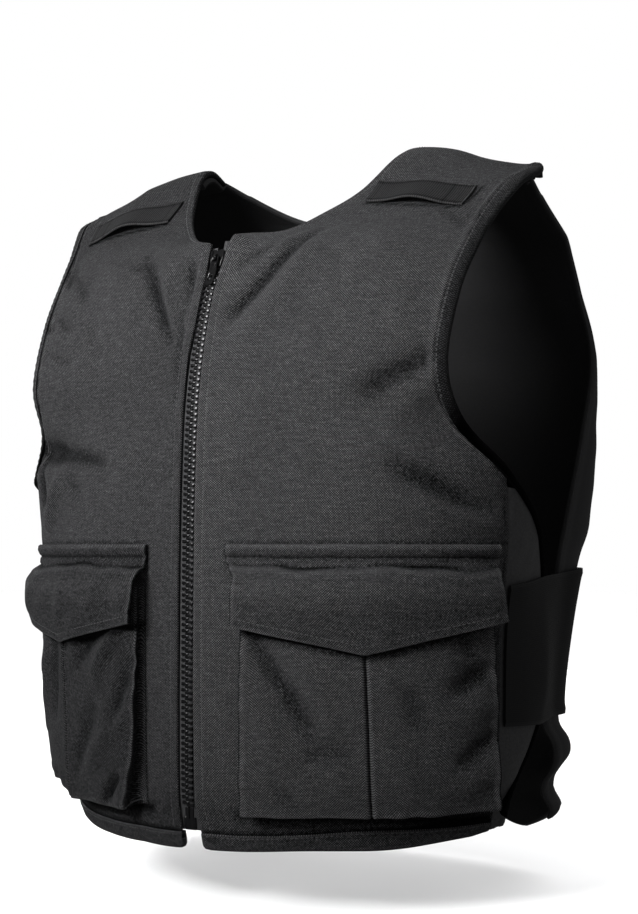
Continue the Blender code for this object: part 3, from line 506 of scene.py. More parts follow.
def slubNoise(tree, u, v, across, along):
    # noise that is fine across the yarns and long along them
    parts = {0: calc(tree, "DIVIDE", u, across), 1: calc(tree, "DIVIDE", v, along)}
    return noise(tree, addNode(tree, "ShaderNodeCombineXYZ", parts).outputs[0], 1.0, 2.0)


def newShader(name, values):
    # a new material, its tree and its shader with these values
    material = bpy.data.materials.new(name)
    material.use_nodes = True
    shader = material.node_tree.nodes["Principled BSDF"]
    for key, value in values.items():
        shader.inputs[key].default_value = value
    return material, material.node_tree, shader


def paint(tree, shader, colour, tone):
    # the base colour is the colour scaled by the tone
    scaled = addNode(tree, "ShaderNodeVectorMath", {0: colour, "Scale": tone}, operation="SCALE")
    tree.links.new(scaled.outputs[0], shader.inputs["Base Color"])


fabricLook = dict(
    weave="plain", pitch=0.00084, slub=0.0040, colour=(0.0100, 0.0100, 0.0105), deep=-0.20, relief=0.40,
    slubTone=0.30, warpTone=0.0, cloud=0.15, grain=0.20, yarn=0.0, rub=0.5, roughness=0.70, specular=0.16, sheen=0.0,
    sheenTint=(0.7, 0.7, 0.75), bump=0.50, dimple=0.22)


def fabricMaterial(name, **changes):
    # weave or ribs with slubs for the yarns, broad unevenness, and painted light and shade with the piece's own tone
    # from its point attribute; the weave is round warp yarns over round weft yarns, and which lies on top alternates
    # like a chessboard
    look = dict(fabricLook, **changes)
    pitch, slub = look["pitch"], look["slub"]
    material, tree, shader = newShader(name, {
        "Roughness": look["roughness"], "Sheen Weight": look["sheen"], "Sheen Roughness": 0.45,
        "Sheen Tint": (*look["sheenTint"], 1.0)})
    spot = addNode(tree, "ShaderNodeUVMap", uv_map="cloth").outputs[0]
    u, v = addNode(tree, "ShaderNodeSeparateXYZ", {0: spot}).outputs[:2]
    place = addNode(tree, "ShaderNodeTexCoord").outputs["Object"]
    rub = addNode(tree, "ShaderNodeAttribute", attribute_name="rub").outputs["Fac"]
    warpSlub = slubNoise(tree, u, v, pitch * 1.1, slub * 0.6)
    weftSlub = slubNoise(tree, u, v, slub * 2.0, pitch * 1.8)
    if look["weave"] == "plain":
        warp, weft = wave(tree, u, pitch), wave(tree, v, pitch)
        over = calc(tree, "MULTIPLY_ADD", calc(tree, "MULTIPLY", warp, weft), 1.6, 0.5, True)
        height = calc(tree, "MAXIMUM", calc(tree, "MULTIPLY", calc(tree, "ABSOLUTE", warp), over),
                      calc(tree, "MULTIPLY", calc(tree, "ABSOLUTE", weft), calc(tree, "SUBTRACT", 1.0, over)))
        slubs = addNode(tree, "ShaderNodeMix", {"Factor": 0.30, "A": weftSlub, "B": warpSlub}).outputs[0]
        paler = calc(tree, "MULTIPLY_ADD", over, look["warpTone"], 1.0 - look["warpTone"] / 2.0)
    else:
        line, slubs = (v, weftSlub) if look["weave"] == "ribsAlong" else (u, warpSlub)
        height, paler = calc(tree, "ABSOLUTE", wave(tree, line, pitch)), 1.0
    # painted shade on the deep yarns and painted light on the raised ones
    tone = calc(tree, "MULTIPLY_ADD", height, look["relief"], look["deep"])
    # where the attribute paints shade the grain is made stronger
    grainByShade = calc(tree, "MULTIPLY_ADD", rub, -3.2, 1.0)
    grain = varied(tree, noise(tree, place, 620.0, 2.0), calc(tree, "MULTIPLY", grainByShade, look["grain"]))
    if look["yarn"]:
        cell = {k: calc(tree, "FLOOR", calc(tree, "DIVIDE", line, pitch)) for k, line in enumerate((u, v))}
        cell = addNode(tree, "ShaderNodeCombineXYZ", cell).outputs[0]
        chance = addNode(tree, "ShaderNodeTexWhiteNoise", {"Vector": cell}, noise_dimensions="2D").outputs["Value"]
        grain = calc(tree, "MULTIPLY", grain, varied(tree, chance, look["yarn"]))
    # the attribute scales the colour and the specular level: painted shade below 0, painted light above it, and the
    # piece's own tone
    toneAndLightFactor = calc(tree, "MULTIPLY_ADD", rub, look["rub"], 1.0)
    cloud = varied(tree, noise(tree, place, 14.0, 3.0), look["cloud"])
    tone = product(tree, tone, varied(tree, slubs, look["slubTone"]), cloud, grain, paler)
    paint(tree, shader, look["colour"], calc(tree, "MULTIPLY", calc(tree, "MAXIMUM", tone, 0.04), toneAndLightFactor))
    shine = calc(tree, "MULTIPLY", toneAndLightFactor, look["specular"], clamp=True)
    tree.links.new(shine, shader.inputs["Specular IOR Level"])
    fine = addNode(tree, "ShaderNodeBump", {"Strength": look["bump"], "Distance": pitch * 0.35,
                                            "Height": calc(tree, "MULTIPLY_ADD", slubs, 0.5, height)})
    wide = addNode(tree, "ShaderNodeBump", {"Strength": look["dimple"], "Distance": 0.0012,
                                            "Height": noise(tree, place, 95.0, 2.0), "Normal": fine.outputs[0]})
    tree.links.new(wide.outputs[0], shader.inputs["Normal"])
    return material


def hardMaterial(name, colour, roughness, specular):
    # moulded or enamelled surface with a slight orange peel and scuffed, duller patches
    material, tree, shader = newShader(name, {"Specular IOR Level": specular})
    place = addNode(tree, "ShaderNodeTexCoord").outputs["Object"]
    patch, peel = noise(tree, place, 420.0, 3.0), noise(tree, place, 1500.0, 1.0)
    low, high = roughness
    tree.links.new(calc(tree, "MULTIPLY_ADD", patch, high - low, low), shader.inputs["Roughness"])
    paint(tree, shader, colour, calc(tree, "MULTIPLY_ADD", patch, 0.5, 0.75))
    bump = addNode(tree, "ShaderNodeBump", {"Strength": 0.12, "Distance": 0.0002, "Height": peel})
    tree.links.new(bump.outputs[0], shader.inputs["Normal"])
    return material


canvas = fabricMaterial(
    "charcoal_canvas", slub=0.0060, colour=(0.0540, 0.0537, 0.0560), deep=-0.30, relief=1.70, slubTone=2.1,
    warpTone=1.75, cloud=0.45, grain=1.25, yarn=0.66, rub=0.55, roughness=0.86, sheen=0.05,
    sheenTint=(0.75, 0.77, 0.8), bump=1.00)
smoothCloth = fabricMaterial(
    "smooth_black_cloth", pitch=0.00050, slub=0.0060, deep=0.70, slubTone=0.35, cloud=0.25, rub=0.8,
    roughness=0.66, bump=0.25)
bindingTape = fabricMaterial(
    "binding_tape", slub=0.0050, colour=(0.0250, 0.0250, 0.0260), relief=1.50, slubTone=1.60, warpTone=1.5,
    cloud=0.60, grain=1.20, yarn=1.20, rub=0.8, roughness=0.80, specular=0.14, sheen=0.02, bump=0.80, dimple=0.40)
ribbedWebbing = fabricMaterial(
    "ribbed_webbing", weave="ribsAcross", pitch=0.00210, colour=(0.0140, 0.0140, 0.0145), relief=1.70,
    slubTone=1.60, grain=0.35, specular=0.20, sheen=0.04, bump=0.60, dimple=0.08)
elasticRib = fabricMaterial(
    "ribbed_elastic", weave="ribsAlong", pitch=0.00140, slub=0.0050, colour=(0.0118, 0.0118, 0.0123), deep=0.75,
    relief=0.30, slubTone=0.20, cloud=0.18, roughness=0.68, bump=0.40, dimple=0.06)
liningMesh = fabricMaterial(
    "lining_cloth", pitch=0.00070, deep=0.50, relief=0.60, cloud=0.20, rub=0.3, roughness=0.80, specular=0.15,
    sheen=0.02, bump=0.35, dimple=0.20)
zipTapeCloth = fabricMaterial(
    "zip_tape_cloth", weave="ribsAcross", pitch=0.00120, slub=0.0030, colour=(0.0460, 0.0460, 0.0480), deep=0.20,
    relief=1.05, slubTone=1.00, grain=0.25, rub=0.4, roughness=0.72, specular=0.25, sheen=0.03, dimple=0.05)
threadCloth = fabricMaterial(
    "sewing_thread", weave="ribsAcross", pitch=0.00035, slub=0.0020, colour=(0.0620, 0.0620, 0.0650), deep=0.60,
    cloud=0.10, rub=0.3, roughness=0.55, specular=0.35, sheen=0.03, bump=0.30, dimple=0.02)
zipPlastic = hardMaterial("moulded_zip_plastic", (0.0040, 0.0040, 0.0044), (0.16, 0.28), 0.30)
zipMetal = hardMaterial("black_enamelled_metal", (0.0025, 0.0025, 0.0028), (0.08, 0.16), 0.75)
print("stage: materials made")


# The free edge runs from the shoulder end down the armhole and the wing; the cloth ends where the binding takes over.

edgeCounts = dict(front=160, wing=90, foot=15)


def freeEdge(frontSteps, wingSteps):
    # points and normals from the shoulder end down the armhole and the edge of the wing
    down = np.linspace(lapRow, underarmRow + 0.02, frontSteps)
    along = np.linspace(wingFace.last - 0.25, -0.06, wingSteps)
    ones, others = np.ones(frontSteps), np.ones(wingSteps)
    points = np.concatenate([front.rowPoints(down, ones), wingFace.rowPoints(along, others)])
    normals = np.concatenate([front.normal(down, ones), wingFace.normal(along, others)])
    return points, normals


edgeLine = freeEdge(edgeCounts["front"], edgeCounts["wing"])[0]


def clothReach(surface, v, tuck):
    # along each row, the distance at which it comes as near the free edge as the binding is wide, less the tuck;
    # the front is clear of the edge at the foot of the wing
    line = edgeLine[: -edgeCounts["foot"]] if surface is front else edgeLine
    rows = surface.rowPoints(*np.meshgrid(v, np.linspace(0, 1, surface.fine), indexing="ij"))
    away = np.array([np.linalg.norm(row[:, None] - line[None], axis=2).min(axis=1) for row in rows])
    margin = cloth["binding"] - tuck
    ends = []
    for far, length in zip(away, gone(rows, 1)):
        blocked = np.flatnonzero(far < margin)
        if len(blocked) == 0 or blocked[0] == 0:
            ends.append(length[-1])
            continue
        k = blocked[0]
        t = (far[k - 1] - margin) / (far[k - 1] - far[k])
        ends.append(length[k - 1] + t * (length[k] - length[k - 1]))
    return np.array(ends)


def stations(start, end, nearSteps, count, farSteps):
    # distances along each row: fixed steps in from both ends, and equal shares of the rest between them
    start, end = np.asarray(start)[:, None], np.asarray(end)[:, None]
    nearSteps, farSteps = np.array(nearSteps), np.array(farSteps)
    room = end - start - nearSteps[-1] - farSteps[-1]
    middle = start + nearSteps[-1] + room * np.linspace(0.0, 1.0, count)[1:-1]
    return np.concatenate([start + nearSteps, middle, end - farSteps[::-1]], axis=1)


# Front panels: folds as x z to x z on the even vest, width and height, in millimetres.

frontLook = dict(step=0.0030, columns=82, stitchLine=0.0068, neckLine=0.0055, stripLeft=0.0285, stripRight=0.0395)
leftFolds = mm([
    (68, -78, 18, -146, 5.2, -7.8), (58, -82, 22, -124, 3.4, 2.6), (47, -83, 16, -110, 3.4, -4),
    (80, -84, 32, -160, 6, 3), (100, -92, 40, -190, 9, -1), (176, -172, 118, -202, 8.5, -5.2),
    (176, -190, 128, -226, 9, 2), (136, -242, 194, -279, 8, -5.6), (150, -268, 198, -292, 7, 2.4),
    (148, -70, 180, -91, 3.6, -3.4), (158, -66, 182, -80, 3.6, 2.2), (150, -82, 176, -98, 4, 1.8),
    (150, -100, 160, -170, 12, -1.4), (80, -230, 20, -270, 14, -1),
])
rightFolds = mm([
    (76, -82, 26, -160, 6.4, -6), (52, -88, 28, -146, 5, 3.6), (24, -94, 12, -132, 5, -4.4),
    (20, -130, 14, -200, 4, -2.6), (105, -86, 52, -170, 9, 2), (118, -84, 70, -100, 6, -2.6),
    (140, -90, 92, -180, 10, -1.6), (182, -76, 126, -117, 4.6, -3.6), (180, -84, 158, -106, 3.4, -6),
    (181, -130, 160, -136, 3, -6), (176, -98, 134, -128, 4.2, 2.6), (172, -120, 130, -142, 4.4, -3),
    (168, -138, 132, -154, 4, 2), (165, -152, 126, -166, 4.6, -2.6), (178, -205, 110, -218, 9, 3),
    (192, -228, 136, -231, 8, -8.5), (160, -228, 80, -241, 6, -6), (184, -236, 172, -272, 9, -7),
    (142, -248, 158, -292, 6.5, 4.6), (132, -250, 108, -266, 7, -2.6), (110, -215, 40, -262, 12, 1.4),
])
armholeRows = (underarmRow + 0.3, collarRow + 3.5)


def stripStart(side):
    # distance across at which the flap's strip begins
    return bySide(side, frontLook["stripLeft"], frontLook["stripRight"])


def closureEdge(side, z):
    # the front's edge from the middle of the zip, between the rows of heights
    return np.interp(z, closureRows[:, 0], closureRows[:, bySide(side, 2, 3)])


def zipEdge(side, v):
    # the front's edge from the middle of the zip, fading out above the collar
    edge = closureEdge(side, front.rowPoints(v, np.zeros_like(v))[..., 2])
    return edge * np.clip(1.0 - (v - collarRow) * 2.0, 0.0, 1.0)


def panelDepth(across, start, end, v):
    # thin beside the zip and along the edges, full between them
    reach, taper = cloth["tapeReach"], cloth["taper"]
    below = v <= collarRow
    edge = np.where(below, cloth["facing"], cloth["carrierEdge"])
    edge = edge + (cloth["carrierEdge"] - edge) * ramp(across, reach, 0.02)
    full = np.minimum(ramp(across, np.where(below, reach + 0.002, start), taper), eased((end - across) / taper))
    flat = np.maximum(ramp(v, 11.5, 1.5), eased(1.0 - v / 0.6))
    return edge + (cloth["carrier"] - edge) * full * (1.0 - flat)


def frontRelief(points, across, start, end, v, side):
    # folds, soft unevenness, puckers along the armhole and a furrow under the topstitching beside the zip
    x, z = points[..., 0], points[..., 2]
    beside, left = across - start, end - across
    folds = creases(x, z, bySide(side, leftFolds, rightFolds)) + 0.0007 * ripple(x, z, 3 + side)
    calm = ramp(across, 0.006, 0.012) * eased(left / 0.010) * ramp(z, -0.298, 0.012)
    pucker = 0.00035 * bell(left, 0.010) * np.sin(v * 24.0 + 3.0 * np.sin(v * 5.0)) * (v > 4.0)
    furrow = -0.00035 * bell(beside - frontLook["stitchLine"], 0.0008) * (v < collarRow)
    neck = -0.00030 * bell(beside - frontLook["neckLine"], 0.0009) * (v > collarRow + 0.4)
    roll = bells(left, (0.0008, 0.0066, 0.0013), (-0.0010, 0.0045, 0.0009))
    return folds * calm + pucker + furrow + neck + roll * (v > armholeRows[0]) * eased((armholeRows[1] - v) / 0.8)


def hollow(relief, depth):
    # 0 on the level, 1 in a hollow of about the depth
    return np.clip(-relief / depth - 0.15, 0.0, 1.0)


def frontPaintedLight(across, start, end, v, z, relief, side):
    # painted highlights along the edges; painted shade in hollows and beside the binding, strip, pocket, loop and
    # hem, over the yoke, lower down and over the far front
    left, strip = end - across, stripStart(side)
    # painted highlights beside the zip, along the outer edge and on the roll beside the binding
    pale = 0.5 * bell(across - start, 0.0012) * (v < collarRow) + 0.2 * bell(left, 0.0020)
    pale = pale + 0.9 * bell(left - 0.0066, 0.0010) * (v > armholeRows[0])
    # painted shade in the groove beside the binding and in the hollows of the folds
    dark = (0.7 + 0.5 * np.sin(v * 9.0)) * bell(left - 0.0045, 0.0009) + 1.1 * hollow(relief, 0.005)
    # painted shade over the yoke and towards the hem, on the near front's outer side and over all of the far front
    dark = dark + 0.35 * ramp(v, collarRow - 0.5, 2.0) + 0.5 * ramp(z, -0.455, -0.035)
    dark = dark + bySide(side, 0.30 * ramp(across, 0.13, 0.06) * ramp(z, -0.19, -0.04), 0.25)
    # painted shadows under the pocket's foot, above the hem band, beside the strip's end and above its top
    pocketFoot = ramp(across, 0.030, 0.008) * (1.0 - ramp(across, 0.208, 0.006))
    dark = dark + 1.2 * bell(z + 0.4830, 0.0042) * pocketFoot + 1.1 * bell(v - cloth["hemTop"] - 0.01, 0.035)
    dark = dark + 1.3 * bell(across - strip + 0.0004, 0.0012) * ramp(z, -0.3175, 0.003) * ramp(z, -0.2985, -0.001)
    dark = dark + 1.1 * bell(z + 0.2978, 0.0010) * ramp(across, strip, 0.002)
    # painted shadow under the loop's lower edge and beside its outer end
    along = (across - 0.024) / 0.091
    loopFoot = bell(11.23 - 0.75 * along - v, 0.06) * ramp(along, -0.02, 0.04) * ramp(along, 1.04, -0.04)
    loopEnd = bell(across - 0.1155 + 0.012 * (v - 10.5), 0.0016) * ramp(v, 10.4, 0.1) * ramp(v, 11.65, -0.1)
    return pale - dark - 1.4 * (loopFoot + loopEnd)


def frontPanel(side):
    # the ruled front with its padding behind it, edges rounded over
    step, hemRow = frontLook["step"], cloth["hemTop"]
    v = np.concatenate([[hemRow - 0.03], front.evenPlaces(hemRow + 0.01, collarRow, step)[:-1],
                        front.evenPlaces(collarRow, lapRow, step)])
    start, end = zipEdge(side, v), clothReach(front, v, 0.0007)
    across = stations(start, end, [0, .0003, .0008, .0018, .0034, .0050, .0060, .0068, .0076, .0090, .0110],
                      frontLook["columns"], [0, .0004, .0010, .0022, .0040])
    rows = v[:, None] * np.ones_like(across)
    low, high = start[:, None], end[:, None]
    base = front.at(rows, across)
    relief = frontRelief(base, across, low, high, rows, side)
    seam = np.where(rows < underarmRow + 0.1, 0.0012, 0.0010)
    drop = np.maximum(rimDrop(across - low, 0.0019), rimDrop(high - across, seam))
    drop = np.maximum(drop, rimDrop((lapRow - rows) * 0.024, 0.0012))
    faces = []
    for off in (relief - drop, drop - panelDepth(across, low, high, rows) + 0.5 * relief):
        grid = front.at(rows, across, off)
        # the column is evened up and down where the chest turns over into the yoke
        near = np.minimum(1.0, 1.7 * bell(v - collarRow - 0.2, 1.1))[:, None] * ramp(across - low, 0.004, 0.016)
        faces.append(collarRise(grid + (blurred(grid, 0, 12, 5.0) - grid) * near[..., None], side))
    uv = np.stack([across + front.rowPoints(rows, np.zeros_like(rows))[..., 0], front.climb(rows)], -1)
    rub = frontPaintedLight(across, low, high, rows, base[..., 2], relief, side)
    piece = wallPiece("front", side, *faces, uv, rub, [canvas, liningMesh])
    return settle(piece, sideName("front_panel", side))


for side in (1, -1):
    frontPanel(side)
print("stage: front panels made")


# Hem bands, bindings and wings. Each hem row has its row place, how far it stands off the binding's rise, and its
# painted light: a painted highlight along the top fold and painted shade below it.

hemLook = dict(columns=92, sag=0.0052, sagPlace=0.123, sagWidth=0.036)
hemRows = [(0.298, -0.0007, 0.5), (0.286, 0.0004, 0.35), (0.258, 0.0002, -0.65), (0.15, 0.0004, -0.55),
           (0.070, 0.0, -0.45), (0.018, -0.0006, -0.45), (0.0, -0.0018, -0.8)]


def hemBand(side):
    # cloth folded under the front: up its face, round the lower edge and up the back of it
    spread = np.linspace(0.0, 1.0, hemLook["columns"])
    outer, inner, uvs = [], [], []
    for v, lift, _ in hemRows[::-1]:
        off = cloth["rise"] + lift
        start, end = zipEdge(side, np.array([v])), clothReach(front, np.array([v]), 0.0002)
        corner = 0.003 * np.clip((0.05 - v) / 0.05, 0.0, 1.0) ** 2
        across = start + corner + (end - start - corner) * spread
        places = v + 0.07 * ramp(across, end - 0.016, 0.016) * np.clip(1.0 - v / 0.2, 0.0, 1.0)
        ripples = 0.00025 * np.sin(across * 310.0 + 2.0 * np.sin(across * 90.0)) * (v > 0.05)
        drop = np.maximum(rimDrop(across - start - corner, 0.0009), rimDrop(end - across, 0.0006))
        for stack, height in ((outer, off + ripples - drop), (inner, -cloth["carrierEdge"] - off + drop)):
            row = front.at(places, across, height)
            sag = hemLook["sag"] * (side > 0) * np.clip(1.0 - v / 0.18, 0.0, 1.0)
            row[:, 2] -= sag * bell(row[:, 0] - hemLook["sagPlace"], hemLook["sagWidth"])
            stack.append(row)
        uvs.append(np.stack([across, np.full_like(across, v * 0.045 + off)], -1))
    rub = np.array([row[2:] for row in hemRows[::-1]])
    piece = wallPiece("hem", side, np.array(outer), np.array(inner), np.array(uvs), rub, [canvas], 70)
    return settle(piece, sideName("hem_band", side))


bindingLook = dict(step=0.0021, lip=0.0020, pitch=0.0062, turn=0.0018)


def bindingPath(step):
    # even steps down the free edge, with the direction in from the edge and the outward one
    points, normals = freeEdge(200, 120)
    far = gone(points)
    steps = np.linspace(0.0, far[-1], int(far[-1] / step))
    points, normals = resampled(steps, far, points), resampled(steps, far, normals)
    padded = np.pad(normals, ((4, 4), (0, 0)), mode="edge")
    normals = np.stack([np.convolve(padded[:, k], np.ones(9) / 9.0, "valid") for k in range(3)], axis=1)
    runs = unit(np.gradient(points, axis=0))
    normals = squared(normals, runs)
    return steps, points, np.cross(runs, normals), normals


def armholeBinding(side):
    # tape folded over the edge, puffed between its stitches
    steps, points, inwards, normals = bindingPath(bindingLook["step"])
    high, low = cloth["rise"], -cloth["carrierEdge"] - cloth["rise"]
    wide, middle = cloth["binding"], (high + low) / 2
    lip = wide + bindingLook["lip"]
    section = [(lip - 0.0002, 0.0001), (lip, 0.0004), (lip - 0.0006, high), (wide * 0.8, high + 0.0005),
               (0.0022, high), (0.0008, high - 0.0009), (0.0, high - 0.0024), (0.0, low + 0.0024),
               (0.0008, low + 0.0009), (0.0022, low), (wide * 0.5, low - 0.0001), (wide - 0.0006, low),
               (wide, low + 0.0006)]
    puff = 0.00022 * np.sin(steps * 2 * np.pi / bindingLook["pitch"] + 2.0 * np.sin(steps * 40.0))
    narrow = 0.30 + 0.70 * eased(steps / 0.014)
    rings, uvs = [], []
    for k, (a, b) in enumerate(section):
        off = middle + (b + puff * (2 <= k <= 4) - middle) * narrow
        rings.append(points + a * inwards + off[:, None] * normals)
        uvs.append(np.stack([steps, np.full_like(steps, bindingLook["turn"] * (k + 1))], -1))
    rings, uvs = np.stack(rings, 1), np.stack(uvs, 1)
    # painted light and shade: paler on the far side and darker down the near armhole; darker again towards its far
    # end
    tint = bySide(side, 0.10 - 0.45 * ramp(steps, 0.050, 0.080), 0.45) - 0.9 * ramp(steps, 0.225, 0.030)
    piece = newMesh("binding", side, rings.reshape(-1, 3), ringFaces(len(steps), len(section)), uvs.reshape(-1, 2),
                    np.repeat(tint, len(section)), [bindingTape], None, 75)
    return settle(piece, sideName("armhole_binding", side))


def sideWing(side):
    # from the side seam to the binding, softly rippled; its first column is tucked under the front
    v = np.concatenate([[-0.05, -0.02], wingFace.evenPlaces(0.02, 8.45, 0.0032, 0.9)])
    end = np.maximum(clothReach(wingFace, v, 0.0009), 0.0016)
    foot = wingFace.length(v) - 0.0012 - 0.0050 * (1.0 - ramp(v, -0.05, 0.25))
    end = end + (foot - end) * (1.0 - ramp(v, 0.1, 0.5))
    across = stations(np.full_like(v, 0.0002), end, [0, .0002, .0005], 26, [0, .0002, .0005])
    rows = v[:, None] * np.ones_like(across)
    z = wingFace.at(rows, across)[..., 2]
    calm = eased(across / 0.012) * eased((end[:, None] - across) / 0.008)
    relief = 0.0008 * ripple(across, z, 21 + side, 0.03) * calm - 0.0004 * bell(across, 0.003)
    pucker = 0.0003 * np.sin(z * 900.0) * bell(across - 0.004, 0.004)
    outer = wingFace.at(rows, across, relief + pucker)
    inner = wingFace.at(rows, across, 0.5 * relief - cloth["wing"])
    for grid in (outer, inner):
        grid[:, 0] += 0.0018 * unit(grid[:, 0] - grid[:, 3])
    outer[:, 0] -= 0.0009 * wingFace.normal(rows[:, 0], np.zeros(len(v)))
    piece = wallPiece("wing", side, outer, inner, np.stack([across, z], -1), 2.7, [smoothCloth, liningMesh])
    return settle(piece, sideName("side_wing", side))


for side in (1, -1):
    hemBand(side)
    armholeBinding(side)
    sideWing(side)
print("stage: edges and wings made")


# The back. Folds as x z to x z, width and height, in millimetres.

backLook = dict(step=0.0034, columns=78, rimRow=0.04, last=12.0, ridge=0.0007)
backFolds = mm([
    (-110, -470, -50, -350, 12, 1.6), (110, -480, 60, -360, 12, 1.8), (140, -330, 50, -300, 11, -1.8),
    (-140, -330, -40, -290, 11, -1.8), (-150, -180, -50, -120, 13, 1.6), (150, -185, 60, -125, 13, 1.6),
    (175, -440, 150, -510, 9, 2.4), (182, -430, 172, -505, 6, -2), (-175, -440, -150, -510, 9, 2),
])
# distance in from the side edge, rise of the lower corner
backCorner = np.array([(0, .015), (.015, .020), (.029, .023), (.046, .013), (.058, .008), (.075, .001), (.090, 0)])


def backPanel():
    # left and right halves of one padded back, joined down the middle up to the nape
    step, rimRow = backLook["step"], backLook["rimRow"]
    v = np.concatenate([back.evenPlaces(0.0, napeRow, step), back.evenPlaces(napeRow, backLook["last"], step)[1:]])
    v = np.concatenate([[0.0, rimRow * 0.4], v[v > rimRow]])
    total = back.length(v) - ramp(v, napeRow, 1.7) * (cloth["binding"] + 0.002)
    across = stations(np.zeros_like(v), total, [0, .0006, .0016, .0032], backLook["columns"],
                      [0, .0005, .0012, .0026, .0050])
    rows = v[:, None] * np.ones_like(across)
    left, straps, climb = total[:, None] - across, rows > napeRow, back.climb(rows)
    full = np.minimum(np.where(straps, eased(across / cloth["taper"]), 1.0), eased(left / cloth["taper"]))
    full = full * (1.0 - ramp(rows, 6.8, 1.5)) * eased(rows / 0.6)
    depth = cloth["carrierEdge"] + (cloth["carrier"] - cloth["carrierEdge"]) * full
    layer = -np.where(rows > backLapRow, cloth["carrierEdge"] + cloth["gap"], 0.0)
    edgeGone = np.minimum(left, np.where(straps, across, 1.0))
    drop = np.maximum(rimDrop(edgeGone, 0.0018), rimDrop(climb, 0.0016))
    ridge = np.maximum(ramp(edgeGone, 0.0070, -0.0008), ramp(climb, 0.011, -0.0010))
    cornerRise = np.interp(left, backCorner[:, 0], backCorner[:, 1])
    base = back.at(rows, across)
    x, z = base[..., 0], base[..., 2]
    calm = eased(left / 0.012) * ramp(z, -0.505, 0.015) * (1.0 - ramp(rows, 8.0, 1.0))
    grids = []
    for side in (1, -1):
        relief = (creases(side * x, z, backFolds) + 0.0010 * ripple(side * x, z, 31, 0.05)) * calm
        relief = relief + backLook["ridge"] * ridge * (rows < 9.6)
        for off in (layer + relief - drop, layer - depth + drop + 0.5 * relief):
            grid = back.at(rows, across, off)
            wide, high = grid[..., 0], grid[..., 2]
            high += cornerRise * ramp(high, -0.450, -0.045)
            if side > 0:
                high -= 0.0110 * ramp(wide, 0.085, 0.050) * ramp(high, -0.470, -0.03)
                sway = bells(high, (0.0046, -0.4790, 0.0070), (0.0030, -0.4400, 0.0160), (-0.0052, -0.4935, 0.0075))
                wide -= sway * ramp(wide, 0.12, 0.05)
            grid[v <= napeRow, 0, 0] = 0.0
            grids.append(mirrored(grid) if side < 0 else grid)
    parts = wallFaces(*across.shape, int((v <= napeRow).sum()) - 1)
    faces = np.concatenate(parts)
    picks = np.repeat([0, 1, 0], [len(part) for part in parts])
    uv = np.tile(np.stack([across, climb], -1).reshape(-1, 2), (4, 1))
    uv[len(uv) // 2 :, 0] *= -1.0
    piece = newMesh("back", 0, np.concatenate(grids).reshape(-1, 3),
                    np.concatenate([faces, faces[:, ::-1] + 2 * across.size]), uv,
                    np.tile(1.2 + 0.35 * ridge.reshape(-1), 4), [smoothCloth, liningMesh], np.tile(picks, 2))
    tool = bmesh.new()
    tool.from_mesh(piece.data)
    bmesh.ops.remove_doubles(tool, verts=tool.verts, dist=1e-6)
    tool.to_mesh(piece.data)
    tool.free()
    return settle(piece, "back_panel")


backPanel()
print("stage: back made")


# The zip: tapes, teeth, slider with its pull, and the retainer box.

zipLook = dict(pitch=0.0041, chainTop=-0.0965, chainBottom=-0.4815, boxTop=-0.4883, toothRise=0.0014, tape=0.0011,
               tapeTopLeft=-0.0835, tapeTopRight=-0.0880, sliderHeight=-0.0970, tapeFoot=-0.4975, bow=0.0022)
tapeFace = -cloth["facing"] - 0.0009
tapeBack = tapeFace - zipLook["tape"]
# distance across the tape and the bead's rise
tapeRows = [(0.0007, 0.0), (0.0010, 0.0004), (0.0022, 0.0004)]
tapeRows += [(across, 0.0) for across in (0.003, 0.004, 0.005, 0.006, 0.007, 0.008, 0.010, 0.015, 0.0165)]


def zipLine(z):
    # points down the middle of the front at heights z, with the outward and upward headings there
    z = np.atleast_1d(np.asarray(z, float))
    places = np.minimum(front.placeOfHeight(np.minimum(z, frontRows[collarRow, 2]), 0.0), collarRow)
    zero = np.zeros_like(places)
    before = front.rowPoints(np.maximum(places - 0.05, 0.0), zero)
    after = front.rowPoints(np.minimum(places + 0.05, collarRow), zero)
    up = unit(after - before)
    points = front.rowPoints(places, zero)
    return points + up * ((z - points[:, 2]) / up[:, 2])[:, None], np.cross(np.array([1.0, 0.0, 0.0]), up), up


def zipBow(z):
    # how far the chain and the bare strip of tape bow out between the fronts, not at the slider or the box
    return zipLook["bow"] * ramp(z, zipLook["chainTop"] - 0.010, -0.012) * ramp(z, zipLook["boxTop"] + 0.004, 0.010)


def zipTape(side):
    # flat ribbed tape from the chain to its seam behind the front, with the rolled bead that holds the teeth
    boxTop, chainTop = zipLook["boxTop"], zipLook["chainTop"]
    top = bySide(side, zipLook["tapeTopLeft"], zipLook["tapeTopRight"])
    z = np.concatenate([[zipLook["tapeFoot"], boxTop - 0.0004], np.linspace(boxTop, chainTop, 150),
                        np.linspace(chainTop + 0.001, top, 10)])
    points, out = zipLine(z)[:2]
    opened, edge = ramp(z, chainTop, 0.004), closureEdge(side, z)
    outer, inner, uvs = [], [], []
    for across, rise in tapeRows:
        move = across + 0.0016 * opened * (across < 0.012)
        move = np.where(z < boxTop, np.maximum(move, 0.0052 + 0.1 * across), move)
        bow = zipBow(z) * (1.0 - ramp(move, edge - 0.0022, 0.0020))
        for stack, off in ((outer, tapeFace + rise), (inner, tapeBack - rise)):
            line = points + out * (off + bow)[:, None]
            line[:, 0] = move
            stack.append(line)
        uvs.append(np.stack([np.full_like(z, across), z], -1))
    piece = wallPiece("tape", side, np.stack(outer, 1), np.stack(inner, 1), np.stack(uvs, 1), 0.0, [zipTapeCloth])
    return settle(piece, sideName("zip_tape", side))


# outline of one tooth from its clamp on the tape to its nose, across and up, one half, in millimetres
toothHalf = mm([(4.4, 0.8), (4.1, 1.1), (2.6, 1.1), (1.7, 0.7), (0.6, 0.9), (-0.6, 0.9), (-1.3, 0.4)])
toothCentre = np.array([0.0015, 0.0])


